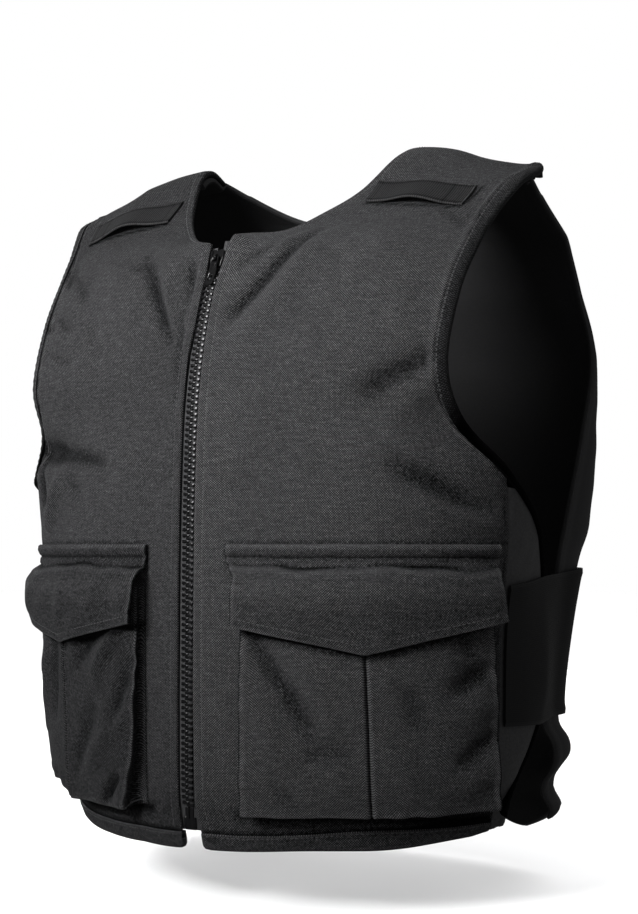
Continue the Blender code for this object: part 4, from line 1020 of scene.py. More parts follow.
def zipTeeth(side):
    # one moulded tooth, chamfered front and back, repeated along the chain; the two sides stand half a pitch apart
    outline = np.concatenate([toothHalf, (toothHalf * [1, -1])[::-1]])
    rise, tape, pitch = zipLook["toothRise"], zipLook["tape"], zipLook["pitch"]
    levels = [(rise + 0.0001, 0.66), (rise - 0.0003, 1.0), (-tape - rise + 0.0003, 1.0), (-tape - rise, 0.7)]
    foot = zipLook["chainBottom"] + 0.0015 + bySide(side, 0.0, pitch / 2)
    heights = np.arange(foot, zipLook["chainTop"] - 0.008, pitch)
    points, out, up = (a[:, None] for a in zipLine(heights))
    rings = []
    for off, scale in levels:
        x, z = (toothCentre + (outline - toothCentre) * scale).T
        ring = points + out * (tapeFace + off + zipBow(heights))[:, None, None] + up * z[None, :, None]
        ring[..., 0] = x
        rings.append(ring)
    verts = np.stack(rings, axis=1).reshape(-1, 3)
    faces = repeated(ringFaces(len(levels), len(outline)), len(heights), len(levels) * len(outline))
    piece = newMesh("teeth", side, verts, faces, np.zeros((len(verts), 2)), 0.0, [zipPlastic], None, 28)
    return settle(piece, None)


def zipPoint(height, x, out, up):
    # the slider's own frame: x across, out outwards and up along the zip
    point, outward, upward = (a[0] for a in zipLine(height))
    x, out, up = np.broadcast_arrays(np.asarray(x, float), out, up)
    spot = point + out[..., None] * outward + up[..., None] * upward
    spot[..., 0] = x
    return spot


def prismMesh(tool, height, outline, low, high, sideways=False):
    # an outline carried from low to high: out from the face of the zip, or sideways for the bail
    a, b = np.array(outline).T
    rings = []
    for level in (low, high):
        spots = zipPoint(height, level, a, b) if sideways else zipPoint(height, a, level, b)
        rings.append([tool.verts.new(p) for p in hung(spots)])
    tool.faces.new(rings[0][::-1])
    tool.faces.new(rings[1])
    for k in range(len(a)):
        after = (k + 1) % len(a)
        tool.faces.new([rings[0][k], rings[0][after], rings[1][after], rings[1][k]])


def boxLine(left, low, right, high):
    # outline of an upright rectangle, in millimetres
    return mm([(left, low), (right, low), (right, high), (left, high)])


def hardPiece(name, tool, material, bevel, segments=3):
    # the built faces as one object, its edges rounded over
    bmesh.ops.recalc_face_normals(tool, faces=tool.faces)
    mesh = bpy.data.meshes.new(name)
    tool.to_mesh(mesh)
    tool.free()
    mesh.materials.append(material)
    mesh.shade_smooth()
    mesh.set_sharp_from_angle(angle=math.radians(40))
    piece = addObject(name, mesh)
    soften = piece.modifiers.new("rounded edges", "BEVEL")
    soften.width, soften.segments = bevel, segments
    soften.limit_method, soften.angle_limit = "ANGLE", math.radians(35)
    return piece


# the slider's wall and the gap over the teeth; the bail's inner radius and its wire
sliderLook = dict(plate=0.0013, gap=0.0004, hole=0.0013, wire=0.0010, bevel=0.00028)
plateFace = tapeFace + zipLook["toothRise"] + sliderLook["gap"] + sliderLook["plate"]


def zipSlider():
    # two waisted plates joined by a post, with raised rails beside a hollow face and an arched bail
    height, plate = zipLook["sliderHeight"], sliderLook["plate"]
    outline = mm([(-4.4, -6.2), (4.4, -6.2), (5.0, -2.0), (5.6, 2.0), (5.6, 5.2), (4.2, 6.8), (1.8, 6.8), (0.0, 5.6),
                  (-1.8, 6.8), (-4.2, 6.8), (-5.6, 5.2), (-5.6, 2.0), (-5.0, -2.0)])
    tool = bmesh.new()
    prismMesh(tool, height, outline, plateFace - plate, plateFace - 0.0002)
    backFace = tapeBack - zipLook["toothRise"] - sliderLook["gap"]
    prismMesh(tool, height, outline, backFace - plate, backFace)
    post = mm([(-1.0, 1.2), (1.0, 1.2), (1.4, 5.0), (-1.4, 5.0)])
    prismMesh(tool, height, post, backFace - 0.0006, plateFace - 0.0008)
    rail = mm([(3.6, -6.0), (4.3, -6.0), (5.5, 2.2), (5.5, 5.0), (4.4, 6.2), (4.0, 5.0), (4.2, 2.2)])
    for sign in (1, -1):
        prismMesh(tool, height, rail * [sign, 1], plateFace - 0.0008, plateFace + 0.0005)
    inner, outer, foot = sliderLook["hole"], sliderLook["hole"] + sliderLook["wire"], plateFace - 0.0006
    angles = np.linspace(0.0, math.pi, 15)
    arch = [(foot, outer)] + [(plateFace + inner + outer * math.sin(a), outer * math.cos(a)) for a in angles]
    arch += [(foot, -outer), (foot, -inner)]
    arch += [(plateFace + inner + inner * math.sin(a), -inner * math.cos(a)) for a in angles] + [(foot, inner)]
    prismMesh(tool, height, arch, -0.0011, 0.0011, True)
    return settle(hardPiece("slider", tool, zipMetal, sliderLook["bevel"]), "zip_slider")


def zipPull():
    # flat pull hanging from the bail: a narrow eye, a waisted neck, knurled ridges and a slot
    height, middle, thick = zipLook["sliderHeight"], plateFace + sliderLook["hole"], 0.0007
    lines = [mm([(-2.6, -21.5), (2.6, -21.5), (3.3, -20.6), (3.3, -11.0), (2.8, -9.7), (2.8, 0.7),
                 (-2.8, 0.7), (-2.8, -9.7), (-3.3, -11.0), (-3.3, -20.6)]),
             boxLine(-1.8, -3.8, 1.8, -0.7), boxLine(-1.6, -18.0, 1.6, -12.8)]
    tool = bmesh.new()
    for level in (middle - thick, middle + thick):
        edges = []
        for a, b in (line.T for line in lines):
            verts = [tool.verts.new(p) for p in hung(zipPoint(height, a, level, b))]
            edges += [tool.edges.new((verts[k], verts[(k + 1) % len(verts)])) for k in range(len(verts))]
        bmesh.ops.triangle_fill(tool, edges=edges, use_beauty=True)
    tool.verts.ensure_lookup_table()
    half, begin = len(tool.verts) // 2, 0
    for line in lines:
        for k in range(len(line)):
            a, b = begin + k, begin + (k + 1) % len(line)
            tool.faces.new([tool.verts[a], tool.verts[b], tool.verts[half + b], tool.verts[half + a]])
        begin += len(line)
    for level in (-5.6, -6.8, -8.0, -9.2):
        ridge = boxLine(-2.2, level - 0.3, 2.2, level + 0.3)
        prismMesh(tool, height, ridge, middle + thick - 0.0002, middle + thick + 0.00045)
    piece = hardPiece("pull", tool, zipMetal, 0.00022, 2)
    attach(piece, "zip_pull")
    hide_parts("zip_pull")
    return piece


def bottomBox():
    # moulded retainer box with three ribs and the two bare pins above it
    height, face = zipLook["boxTop"], -cloth["facing"] - 0.0004
    tool = bmesh.new()
    body = mm([(-5.0, -9.0), (4.6, -9.0), (4.6, -1.2), (4.0, -0.6), (-4.4, -0.6), (-5.0, -1.2)])
    prismMesh(tool, height - 0.0004, body, face - 0.0034, face)
    for x in (-3.6, -0.2, 3.2):
        rib = boxLine(x - 0.6, -8.0, x + 0.6, -1.8)
        prismMesh(tool, height - 0.0004, rib, face - 0.0006, face + 0.0003)
    for sign in (1, -1):
        prismMesh(tool, height, boxLine(sign * 0.5, -3.0, sign * 3.4, 6.6), tapeBack - 0.0008, tapeFace + 0.0010)
    return settle(hardPiece("bottom_box", tool, zipPlastic, 0.00035), "zip_bottom_box")


for side in (1, -1):
    zipTape(side)
    zipTeeth(side)
zipSlider()
zipPull()
bottomBox()
print("stage: zip made")


# Pockets, flaps, loops and straps.

pocketLook = dict(start=0.0415, width=0.1695, top=-0.3290, foot=-0.4785, depth=0.0155, pleat=0.0036, cloth=0.0016,
                  climbRows=54, faceColumns=38)
swellRows = np.array([(0.0, .95), (0.12, .98), (0.45, .82), (0.62, .72), (0.74, .62), (0.90, .58), (1.0, .56)])
# from the seam on the panel out to the face: how far in, and how much of the height; the gusset is tucked inwards
gussetRows = np.array([(.0000, .00), (.0008, .02), (.0022, .07), (.0034, .16), (.0042, .28), (.0045, .42),
                       (.0041, .56), (.0030, .70), (.0016, .82), (.0007, .91), (.0006, .96), (.0011, .99),
                       (.0022, 1.0), (.0040, 1.0)])
# across and up as shares of the pocket, width in metres, height
pocketFoldsLeft = [
    (0.02, 0.86, 0.30, 0.34, 0.0075, -0.0036), (0.10, 0.92, 0.36, 0.52, 0.0075, 0.0024),
    (0.04, 0.52, 0.20, 0.22, 0.0065, 0.0022), (0.24, 0.26, 0.46, 0.30, 0.0080, -0.0020),
    (0.36, 0.95, 0.44, 0.66, 0.0060, -0.0018), (0.10, 0.16, 0.24, 0.04, 0.0050, -0.0020),
    (0.54, 0.90, 0.60, 0.40, 0.0080, 0.0016), (0.66, 0.98, 0.56, 0.62, 0.0070, -0.0024),
    (0.98, 0.68, 0.80, 0.54, 0.0070, -0.0030), (0.97, 0.52, 0.82, 0.40, 0.0080, 0.0022),
    (0.99, 0.36, 0.83, 0.21, 0.0065, -0.0033), (0.96, 0.20, 0.84, 0.09, 0.0070, 0.0016),
    (0.60, 0.60, 0.70, 0.38, 0.0110, -0.0018), (0.80, 0.95, 0.90, 0.66, 0.0060, -0.0018),
    (0.58, 0.30, 0.70, 0.06, 0.0070, 0.0018), (0.90, 0.20, 0.98, 0.08, 0.0050, -0.0022),
]
pocketFoldsRight = [
    (0.02, 0.96, 0.26, 0.56, 0.0060, 0.0036), (0.10, 0.98, 0.40, 0.60, 0.0070, -0.0030),
    (0.02, 0.70, 0.14, 0.30, 0.0060, -0.0022), (0.06, 0.40, 0.30, 0.12, 0.0080, 0.0024),
    (0.24, 0.46, 0.42, 0.10, 0.0080, -0.0022), (0.30, 0.98, 0.44, 0.70, 0.0070, 0.0020),
    (0.56, 0.90, 0.66, 0.30, 0.0080, -0.0022), (0.70, 0.70, 0.88, 0.20, 0.0090, 0.0024),
    (0.92, 0.94, 0.80, 0.50, 0.0070, -0.0020), (0.06, 0.14, 0.16, 0.02, 0.0045, -0.0034),
]


def pocketBag(side):
    # a tray of cloth on an inward gusset, with a pressed pleat whose two folds meet down its middle
    look, thick = pocketLook, pocketLook["cloth"]
    width, half, height = look["width"], look["width"] / 2, look["top"] - look["foot"]
    inset, rise = gussetRows.T
    near = np.concatenate([inset, np.linspace(0.0062, half - 0.0058, look["faceColumns"]),
                           half - np.array([.0040, .0027, .0017, .0010, .0005, .0002])])
    nearRise = np.concatenate([rise, np.ones(len(near) - len(rise))])
    climb = np.concatenate([inset * 0.8, np.linspace(0.0056, height, look["climbRows"])])
    footRise = np.concatenate([rise, np.ones(look["climbRows"])])
    wall = footRise[:, None] * np.concatenate([nearRise, nearRise[::-1]])
    up, across = np.meshgrid(climb, np.concatenate([near, width - near[::-1]]), indexing="ij")
    beside, gap = np.minimum(across, width - across), abs(across - half)
    swell = look["depth"] * np.interp(up / height, swellRows[:, 0], swellRows[:, 1])
    pleat = look["pleat"] * np.exp(-((gap / 0.0010) ** 1.6)) - 0.0005 * bell(gap - 0.0030, 0.0014)
    table = np.array(bySide(side, pocketFoldsLeft, pocketFoldsRight)) * [width, height, width, height, 1, 1]
    folds = creases(across, up, table) * bySide(side, 1.2, 1.7) + 0.0007 * ripple(across, up, 51 + side, 0.024)
    crumple = 0.0009 * np.sin(up * 230.0 + 2.5 * np.sin(up * 70.0)) * bell(beside - 0.004, 0.007)
    crumple = crumple + 0.0009 * np.sin(across * 200.0 + 2.0 * np.sin(across * 60.0)) * bell(up - 0.003, 0.008)
    under = 1.0 - 0.75 * ramp(up / height, 0.70, 0.16)
    face = swell * wall + ((folds + crumple) * under - pleat) * wall**2
    # the far pocket's foot is drawn in at its inner corner and up at its outer one
    drawn = (side < 0) * wall * ramp(up, 0.034, -0.034) * bell(across, 0.030)
    raised = (side < 0) * 0.0092 * ramp(across, 0.078, 0.042) * (1.0 - up / height) ** 2
    grids = []
    for rim, off in ((0.0, face), (thick, np.maximum(face - thick * wall, 0.0))):
        z = look["foot"] + rim + up * (height - rim) / height + raised - 0.0022 * drawn
        x = look["start"] + rim + across * (width - 2 * rim) / width + 0.0090 * drawn
        grids.append(front.at(front.placeOfHeight(z), x, cloth["gap"] + off))
    piece = wallPiece("pocket_bag", side, *grids, measuredUv(grids[0], len(near)),
                      pocketPaintedLight(side, across, up, wall, folds), [canvas], 80)
    return settle(piece, sideName("pocket", side))


def pocketPaintedLight(side, across, up, wall, folds):
    # painted highlights along the pressed edges; painted shade in the pleat, in hollows, on the gusset, under the
    # flap and over the far pocket
    look = pocketLook
    half = look["width"] / 2
    beside, gap = np.minimum(across, look["width"] - across), abs(across - half)
    # painted highlights inside the side and bottom edges; on the near pocket a dark line at its very edge
    edges = 1.3 * bell(beside - bySide(side, 0.0030, 0.0014), 0.0012) + 0.6 * bell(up - 0.0012, 0.0018)
    edges = edges - bySide(side, 1.9, 0.0) * bell(beside - 0.0007, 0.0009)
    # painted highlight beside the pleat's fold and painted shade down its middle
    rub = edges * (wall > 0.85) + bells(gap, (0.6, 0.0018, 0.0010), (-0.7, 0.0, 0.0008))
    # painted shade on the gusset under the face; on the far pocket it is painted pale beside its seam
    pale = (side < 0) * bell(wall, 0.26) * (across < half)
    rub = rub + pale - 1.3 * np.clip(1.0 - wall, 0.0, 0.9) * (1.0 - pale)
    # painted shade: the near pocket darker towards its outer side, the far one darker all over with a dark line along
    # its sides
    rub = rub - bySide(side, 0.35 * ramp(across, 0.09, 0.06), 0.80 + 2.4 * bell(beside, 0.0006))
    # painted shade in the hollows of the folds
    rub = rub - bySide(side, 1.2, 0.6) * hollow(folds, 0.004)
    # painted shadow under the flap's lower edge
    below = flapEdge((look["start"] + across - flapLook["start"]) / flapLook["width"]) - (look["foot"] + up)
    return np.clip(rub - 1.5 * bell(below - 0.0012, 0.0030), -1.6, 1.4)


# stitchDown is the place down the flap, in its own shares, of the seam inside its edge
flapLook = dict(start=0.0395, width=0.1735, stripEnd=0.2205, side=-0.3545, point=0.0160, outerRise=0.0070,
                edgeOff=0.0180, pointTuck=0.0036, cloth=0.0022, stitchDown=1.72)
# height and how far the face stands off the panel
flapProfile = mm([(-299.5, 2.7), (-304.5, 2.9), (-309.5, 2.7), (-314.0, 4.2), (-318.5, 10.0), (-324.5, 15.8),
                  (-334.0, 18.2)])
# as the front's folds
flapFoldsLeft = mm([
    (150, -318, 190, -350, 7, -2.2), (60, -316, 100, -350, 8, 1.4), (110, -318, 130, -362, 6, -1.4),
    (200, -318, 212, -352, 5, 1.6),
])
flapFoldsRight = mm([
    (150, -318, 185, -352, 7, 2), (50, -318, 80, -350, 7, -2), (110, -318, 124, -366, 6, 1.6),
    (195, -318, 208, -352, 5, -1.8),
])


def pointed(spread):
    # 1 in the middle of the flap and 0 at its two ends
    return 1.0 - np.abs(2.0 * spread - 1.0)


def flapEdge(spread):
    # height of the lower edge: down to the point in the middle, and a little higher at the outer end
    outer = flapLook["outerRise"] * np.maximum(2.0 * spread - 1.0, 0.0)
    return flapLook["side"] - flapLook["point"] * pointed(spread) + outer


def flapOff(spread):
    # how far the lower edge stands off the panel
    return flapLook["edgeOff"] - flapLook["pointTuck"] * pointed(spread)


def flapWave(across, down, side):
    # towards its lower edge the flap swings out and in along its length, and curls at its two ends
    start, end = flapLook["start"], flapLook["start"] + flapLook["width"]
    curl = bells(across, (0.0022, start, 0.014), (0.0022, end, 0.014))
    return (0.0009 * np.sin(across * 95.0 + 1.5 * side) + curl) * ramp(down, 1.1, 0.9)


def flapPiece(side):
    # stitched strip, a crease, then a flap that stands out over the pocket and hangs to a point
    look, strip = flapLook, stripStart(side)
    spread = np.concatenate([[0, .0015, .004, .008], np.linspace(0.014, 0.986, 86), [.992, .996, .9985, 1.0]])
    edge = flapEdge(spread)
    # down the flap: shares 0 to 1 along the profile, then 1 to 2 down to the edge
    down = np.concatenate([[0.0, .03, .07, .13], np.linspace(0.2, 1.0, 26), np.linspace(1.06, 1.94, 20),
                           [1.965, 1.985, 2.0]])[:, None]
    high, out = throughRows(flapProfile, np.minimum(down, 1.0) * (len(flapProfile) - 1)).transpose(2, 0, 1)
    lower = np.clip(down - 1.0, 0.0, 1.0)
    z, off = high + (edge - high) * lower, out + (flapOff(spread) - out) * lower
    fold = ramp(z[:, :1], -0.3095, -0.014)
    start = strip + (look["start"] - strip) * fold
    end = look["stripEnd"] + (look["start"] + look["width"] - look["stripEnd"]) * fold
    across = start + (end - start) * spread
    crease = z + 0.3146 + 0.0011 * np.sin(across * 62.0 + 2.0 * side) + 0.0006 * np.sin(across * 170.0)
    strong = (0.65 + 0.35 * np.sin(across * 80.0 + side)) * bell(crease, 0.0011)
    relief = bells(z, (0.0010, -0.3030, 0.0026), (-0.0012, -0.3084, 0.0010)) - 0.0022 * strong
    relief = relief + 0.0008 * bell(crease + 0.0030, 0.0016) - 0.0004 * bell(z - edge - 0.0060, 0.0010) * (down > 1.0)
    relief = relief + 0.0012 * ripple(across, z, 61 + side, 0.03) * ramp(down, 0.75, 0.5)
    relief = relief + creases(across, z, bySide(side, flapFoldsLeft, flapFoldsRight)) * ramp(down, 0.5, 0.4)
    relief = relief + flapWave(across, down, side)
    beside = np.minimum(across - start, end - across)
    drop = np.maximum(rimDrop(beside, 0.0009), rimDrop(np.abs(z - edge) + 10.0 * (down < 1.0), 0.0009))
    drop = np.maximum(drop, rimDrop(np.abs(z - flapProfile[0, 0]) + 10.0 * (down > 1.0), 0.0010))
    fallZ, fallOff = np.gradient(z, axis=0), np.gradient(off, axis=0)
    size = np.hypot(fallZ, fallOff) + 1e-9
    stepOff, stepZ = -np.abs(fallZ) / size * look["cloth"], -fallOff / size * look["cloth"]
    outer = front.at(front.placeOfHeight(z), across, off + relief - drop)
    inner = front.at(front.placeOfHeight(z + stepZ), across, off + stepOff + relief * 0.6 + drop * 0.6)
    # painted highlights on the lower edge, the bend, the rims, the strip's roll and below the crease; painted shade
    # outside the rims, in the crease and in the strip's groove
    rub = 1.4 * bell(z - edge, 0.0012) * (down > 1.0) + 0.35 * bell(off - 0.0170, 0.0016) * (down < 1.2)
    rub = rub + bells(beside, (1.2, 0.0018, 0.0008), (-2.4, 0.0, 0.0008)) - 1.7 * strong
    rub = rub + bells(z, (0.9, -0.3008, 0.0014), (-0.7, -0.3084, 0.0012)) + 0.5 * bell(crease + 0.0030, 0.0016)
    # painted shade over the whole flap, more at the near one's outer end and most on the far flap
    rub = rub - bySide(side, 0.36 + 0.25 * ramp(across, 0.13, 0.06), 0.80)
    piece = wallPiece("flap", side, outer, inner, measuredUv(outer, len(spread) // 2), np.clip(rub, -1.6, 1.4),
                      [canvas], 70)
    return settle(piece, sideName("pocket_flap", side))


# row place and distance across of the two ends of each long edge; length and width of the webbing
loopLook = dict(lower=((11.25, 0.0240), (10.50, 0.1150)), upper=((12.20, 0.0100), (11.55, 0.0990)), lift=0.0048,
                webbing=0.0016, size=(0.095, 0.025))


def radioLoop(side):
    # webbing tacked down at both ends and bowed off the cloth between them, most at its lower edge
    shares = np.concatenate([[0, .02, .05], np.linspace(.09, .91, 12), [.95, .98, 1.0]])
    alongs = np.concatenate([[0, .006, .015, .03, .06, .072, .09], np.linspace(.12, .88, 40),
                             [.91, .928, .94, .97, .985, .994, 1.0]])
    share, along = np.meshgrid(shares, alongs, indexing="ij")
    ends = zip(np.array(loopLook["lower"]), np.array(loopLook["upper"]))
    start, end = (low + (high - low) * share[..., None] for low, high in ends)
    v, across = np.moveaxis(start + (end - start) * along[..., None], -1, 0)
    bow = loopLook["lift"] * np.sin(math.pi * ramp(along, 0.05, 0.90)) ** 1.2 * (1.0 - 0.35 * share)
    long, wide = loopLook["size"]
    edge = np.minimum(share, 1.0 - share) * wide
    drop = rimDrop(edge, 0.0006)
    tack = bells(along, (-0.0005, 0.066, 0.008), (-0.0005, 0.934, 0.008))
    outer = front.at(v, across, cloth["gap"] + loopLook["webbing"] + bow + tack - drop)
    inner = front.at(v, across, cloth["gap"] + bow + drop * 0.5)
    # painted highlight on the outer end and the long edges, painted shade in the grooves inside the edges, and two
    # dark lines across it near the outer end
    rub = bells(along, (1.6, 1.0, 0.012), (-1.4, 0.955, 0.010), (-1.2, 0.80, 0.010))
    rub = rub + bells(edge, (1.9, 0.0, 0.0007), (-1.3, 0.0022, 0.0010))
    piece = wallPiece("loop", side, outer, inner, np.stack([along * long, share * wide], -1),
                      np.clip(rub, -1.7, 2.0), [ribbedWebbing], 70)
    return settle(piece, sideName("radio_loop", side))


strapLook = dict(top=-0.3270, bottom=-0.4230, rise=0.0105, fall=0.0045, lift=0.0013, liftBack=0.0020, thick=0.0018)
# surfaces and shares of their rows that the strap follows
strapPlaces = [(wingFace, s) for s in (0.02, 0.22, 0.42, 0.62, 0.82, 1.0)]
strapPlaces += [(back, s) for s in (1.0, 0.95, 0.90, 0.85, 0.80, 0.74, 0.67, 0.58, 0.48)]


def tautened(grid):
    # evened along its length between two places on either side of the gap
    column = np.arange(grid.shape[1])
    share = ramp(column, 8.0, 8.0) * (1.0 - ramp(column, 44.0, 8.0))
    return grid + (blurred(grid, 1, 9, 5.0) - grid) * share[:, None]


def sideStrap(side):
    # wide elastic from the side seam over the wing, across the gap and round the corner of the back
    look, last, rise = strapLook, len(strapPlaces) - 1, np.linspace(0.0, 1.0, 31)
    below, above = [], []
    for number, (surface, s) in enumerate(strapPlaces):
        along = min(1.0, 1.5 * number / last)
        bottom = look["bottom"] - look["fall"] * along
        v = surface.placeOfHeight(bottom + (look["top"] + look["rise"] * along - bottom) * rise, s)
        line, out = surface.rowPoints(v, np.full_like(v, s)), surface.normal(v, np.full_like(v, s))
        lift = look["lift"] if surface is wingFace else look["liftBack"]
        below.append(line + lift * out)
        above.append(line + (lift + look["thick"]) * out)
    steps = np.linspace(0, last, 85)
    below, above = (tautened(np.stack([throughRows(line, steps) for line in np.stack(grid, 1)]))
                    for grid in (below, above))
    out, far = unit(above - below), gone(above, 1)
    high = rise[:, None] * np.ones_like(far)
    edge = np.minimum(high, 1.0 - high) * 0.1
    swing = 0.0005 * np.sin(far * 95.0) * bell(edge, 0.02)
    outer = above + out * (0.0005 * bell(edge - 0.003, 0.003) + swing - 0.0005 * (edge < 1e-6))[..., None]
    inner = below + out * (swing + 0.0002)[..., None]
    piece = wallPiece("strap", side, outer, inner, np.stack([far, high * 0.1], -1), 0.5 * bell(edge, 0.002),
                      [elasticRib], 70)
    return settle(piece, sideName("side_strap", side))


for side in (1, -1):
    pocketBag(side)
    flapPiece(side)
    radioLoop(side)
    sideStrap(side)
print("stage: pockets, flaps, loops and straps made")


# Stitches. Each ring of one has its share of the length, its size and how far it sinks in.

stitchLook = dict(long=0.0022, apart=0.0034, half=0.00032, tall=0.00028)
stitchRings = ((-0.5, 0.45, -1.0), (-0.28, 1.0, 0.0), (0.28, 1.0, 0.0), (0.5, 0.45, -1.0))


def stitchRows(name, lines, side):
    # every stitch is a small four-sided bead, thin at both ends, laid along the seam line
    look, centres, runs, outs = stitchLook, [], [], []
    for points, normals in lines:
        far = gone(points)
        steps = np.arange(look["apart"] * 0.5, far[-1], look["apart"])
        centres.append(resampled(steps, far, points))
        outs.append(resampled(steps, far, normals))
        runs.append(resampled(steps + 0.001, far, points) - resampled(steps - 0.001, far, points))
    centres, runs = np.concatenate(centres), unit(np.concatenate(runs))
    outs = squared(np.concatenate(outs), runs)
    across = np.cross(runs, outs)
    rings = []
    for share, size, sink in stitchRings:
        for a, b in ((1, 0), (0, 1), (-1, 0), (0, -1)):
            rings.append(centres + runs * share * look["long"] + across * a * size * look["half"]
                         + outs * (b * size + sink) * look["tall"])
    verts = np.stack(rings, axis=1).reshape(-1, 3)
    faces = repeated(ringFaces(4, 4), len(centres), 16)
    piece = newMesh(name, side, verts, faces, np.zeros((len(verts), 2)), 0.0, [threadCloth], None, 80)
    return settle(piece, None)


def frontLine(v, across, off):
    # a seam line on the front at row places v and distances across, a little proud of the cloth
    v, across = np.broadcast_arrays(np.asarray(v, float), np.asarray(across, float))
    points = front.at(v, across, off)
    return points, front.normal(v, front.share(v, across))


def frontStitches(side):
    # beside the zip, round the neckline and along the binding and hem
    down = front.evenPlaces(cloth["hemTop"] + 0.05, collarRow - 0.12, 0.0030)
    neck = front.evenPlaces(collarRow + 0.5, lapRow - 0.2, 0.0030, 0.1)
    lines = [frontLine(down, zipEdge(side, down) + frontLook["stitchLine"], 0.00002),
             frontLine(neck, frontLook["neckLine"], 0.0)]
    lines = [(collarRise(points, side), normals) for points, normals in lines]
    steps, *rest = bindingPath(0.0030)
    points, inwards, normals = (a[6 : np.searchsorted(steps, 0.235)] for a in rest)
    lines.append((points + inwards * (cloth["binding"] + 0.0016) + normals * (cloth["rise"] + 0.00008), normals))
    hem = np.array([0.25])
    across = np.linspace(zipEdge(side, hem)[0] + 0.003, front.length(hem)[0] - 0.010, 80)
    lines.append(frontLine(hem, across, cloth["rise"] + 0.00030))
    return stitchRows("stitches_front", lines, side)


def flapStitches(side):
    # two rows on the strip and one inside the flap's edge
    look = flapLook
    across = np.linspace(stripStart(side) + 0.002, look["stripEnd"] - 0.002, 90)
    lines = [frontLine(front.placeOfHeight(z), across, off) for z, off in ((-0.3096, 0.0019), (-0.3009, 0.0027))]
    spread = np.linspace(0.035, 0.965, 120)
    across = look["start"] + look["width"] * spread
    off = flapOff(spread) + 0.0006 + flapWave(across, look["stitchDown"], side)
    lines.append(frontLine(front.placeOfHeight(flapEdge(spread) + 0.0060), across, off))
    return stitchRows("stitches_flap", lines, side)


for side in (1, -1):
    frontStitches(side)
    flapStitches(side)
print("stage: stitches made")


# Stage, light and camera.

stageLook = dict(floor=-0.5560, colour=(0.93, 0.93, 0.935), reach=7.0, rings=12, turns=64)


def paleFloor():
    # a round level floor, wide enough to run into the white behind it
    rings = np.linspace(0.0, stageLook["reach"], stageLook["rings"])[1:]
    turns = np.linspace(0.0, 2.0 * np.pi, stageLook["turns"] + 1)[:-1]
    radius, angle = np.meshgrid(rings, turns, indexing="ij")
    points = np.stack([radius * np.cos(angle), radius * np.sin(angle), np.full_like(radius, stageLook["floor"])], -1)
    index = np.arange(radius.size).reshape(radius.shape)
    after = np.roll(index, -1, axis=1)
    faces = np.stack([index[:-1], index[1:], after[1:], after[:-1]], -1).reshape(-1, 4).tolist()
    mesh = bpy.data.meshes.new("floor")
    mesh.from_pydata(points.reshape(-1, 3).tolist(), [], faces + [index[0].tolist()])
    mesh.materials.append(newShader("pale_floor", {"Base Color": (*stageLook["colour"], 1.0), "Roughness": 0.9,
                                                   "Specular IOR Level": 0.1})[0])
    floor = addObject("floor", mesh)
    floor.visible_diffuse = floor.visible_glossy = False  # a pale floor this bright would light the vest from below


lampLook = [
    # name, place, size, power, beam, target
    ("key", (-0.22, -1.15, 0.34), (0.6, 0.6), 3.0, 50.0, (0.0, -0.05, -0.13)),
    ("fill", (1.60, -1.30, 0.10), (1.2, 1.8), 3.1, 180.0, (0.0, 0.0, -0.30)),
    ("top", (-0.10, 0.30, 1.70), (1.6, 1.6), 1.6, 180.0, (0.0, 0.0, -0.30)),
    ("rim", (-1.50, 0.50, 0.10), (0.6, 1.6), 2.0, 180.0, (0.0, 0.0, -0.25)),
    ("back", (-1.00, 1.50, 0.00), (1.4, 1.2), 8.0, 180.0, (0.0, 0.0, -0.30)),
]


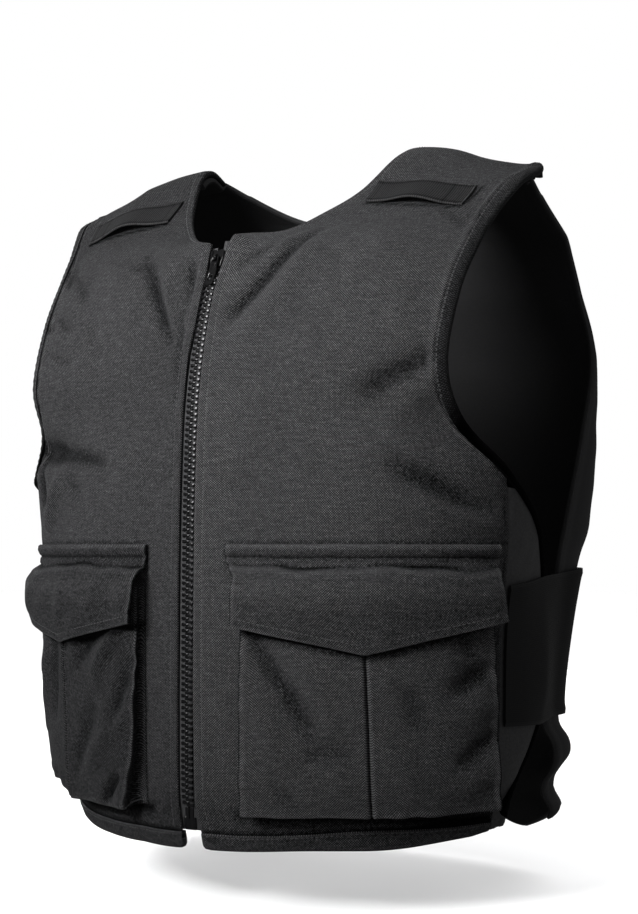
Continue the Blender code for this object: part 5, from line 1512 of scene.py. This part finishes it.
def softLamps():
    # area lamps that aim at their targets, light for the floor alone, and a pale room
    for name, place, size, power, beam, target in lampLook:
        lamp = bpy.data.lights.new(name, "AREA")
        lamp.shape, lamp.energy, lamp.spread = "RECTANGLE", power, math.radians(beam)
        lamp.size, lamp.size_y = size
        holder = addObject(name, lamp)
        away = np.array(target) - np.array(place)
        holder.location = place
        tilt = math.pi / 2 + math.atan2(away[2], math.hypot(away[0], away[1]))
        holder.rotation_euler = (tilt, 0.0, math.atan2(-away[0], away[1]))
    # a broad light straight down on the floor alone keeps it as pale as the room
    only = bpy.data.collections.new("floor_only")
    only.objects.link(bpy.data.objects["floor"])
    for name, power, shadows in (("floor_light", 1.1, True), ("floor_glow", 2.0, False)):
        sun = bpy.data.lights.new(name, "SUN")
        sun.energy, sun.angle, sun.use_shadow = power, math.radians(80), shadows
        addObject(name, sun).light_linking.receiver_collection = only
    # the studio's own white is seen behind the vest, and a dimmer white lights it
    world = bpy.data.worlds.new("studio")
    world.use_nodes = True
    tree, white = world.node_tree, (1.0, 1.0, 1.0, 1.0)
    dim = tree.nodes["Background"]
    dim.inputs["Color"].default_value, dim.inputs["Strength"].default_value = white, 0.15
    seen = addNode(tree, "ShaderNodeBackground", {"Color": white, "Strength": 1.0})
    either = addNode(tree, "ShaderNodeMixShader", {0: addNode(tree, "ShaderNodeLightPath").outputs["Is Camera Ray"],
                                                   1: dim.outputs[0], 2: seen.outputs[0]})
    tree.links.new(either.outputs[0], tree.nodes["World Output"].inputs["Surface"])
    bpy.context.scene.world = world


# degrees and metres; the focal length, the axis and the frame in pixels, and the sensor in millimetres
cameraLook = dict(azimuth=31.0, height=-0.30, distance=1.165, focal=1506.0, axis=(305.0, 545.0), frame=(638.0, 914.0),
                  sensor=36.0)


def photoCamera():
    # level camera; the frame's middle lies beside and above the axis, which the shift takes up
    look, turn = cameraLook, math.radians(cameraLook["azimuth"])
    wide, tall = look["frame"]
    lens = bpy.data.cameras.new("camera")
    lens.sensor_width, lens.lens = look["sensor"], look["focal"] / tall * look["sensor"]
    lens.shift_x, lens.shift_y = (wide / 2 - look["axis"][0]) / tall, (look["axis"][1] - tall / 2) / tall
    lens.clip_start, lens.clip_end = 0.05, 30.0
    holder = addObject("camera", lens)
    holder.location = (math.sin(turn) * look["distance"], -math.cos(turn) * look["distance"], look["height"])
    holder.rotation_euler = (math.pi / 2, 0.0, turn)
    bpy.context.scene.camera = holder


paleFloor()
softLamps()
photoCamera()
bpy.context.scene.view_settings.view_transform = "Standard"
print("stage: floor, light and camera set")
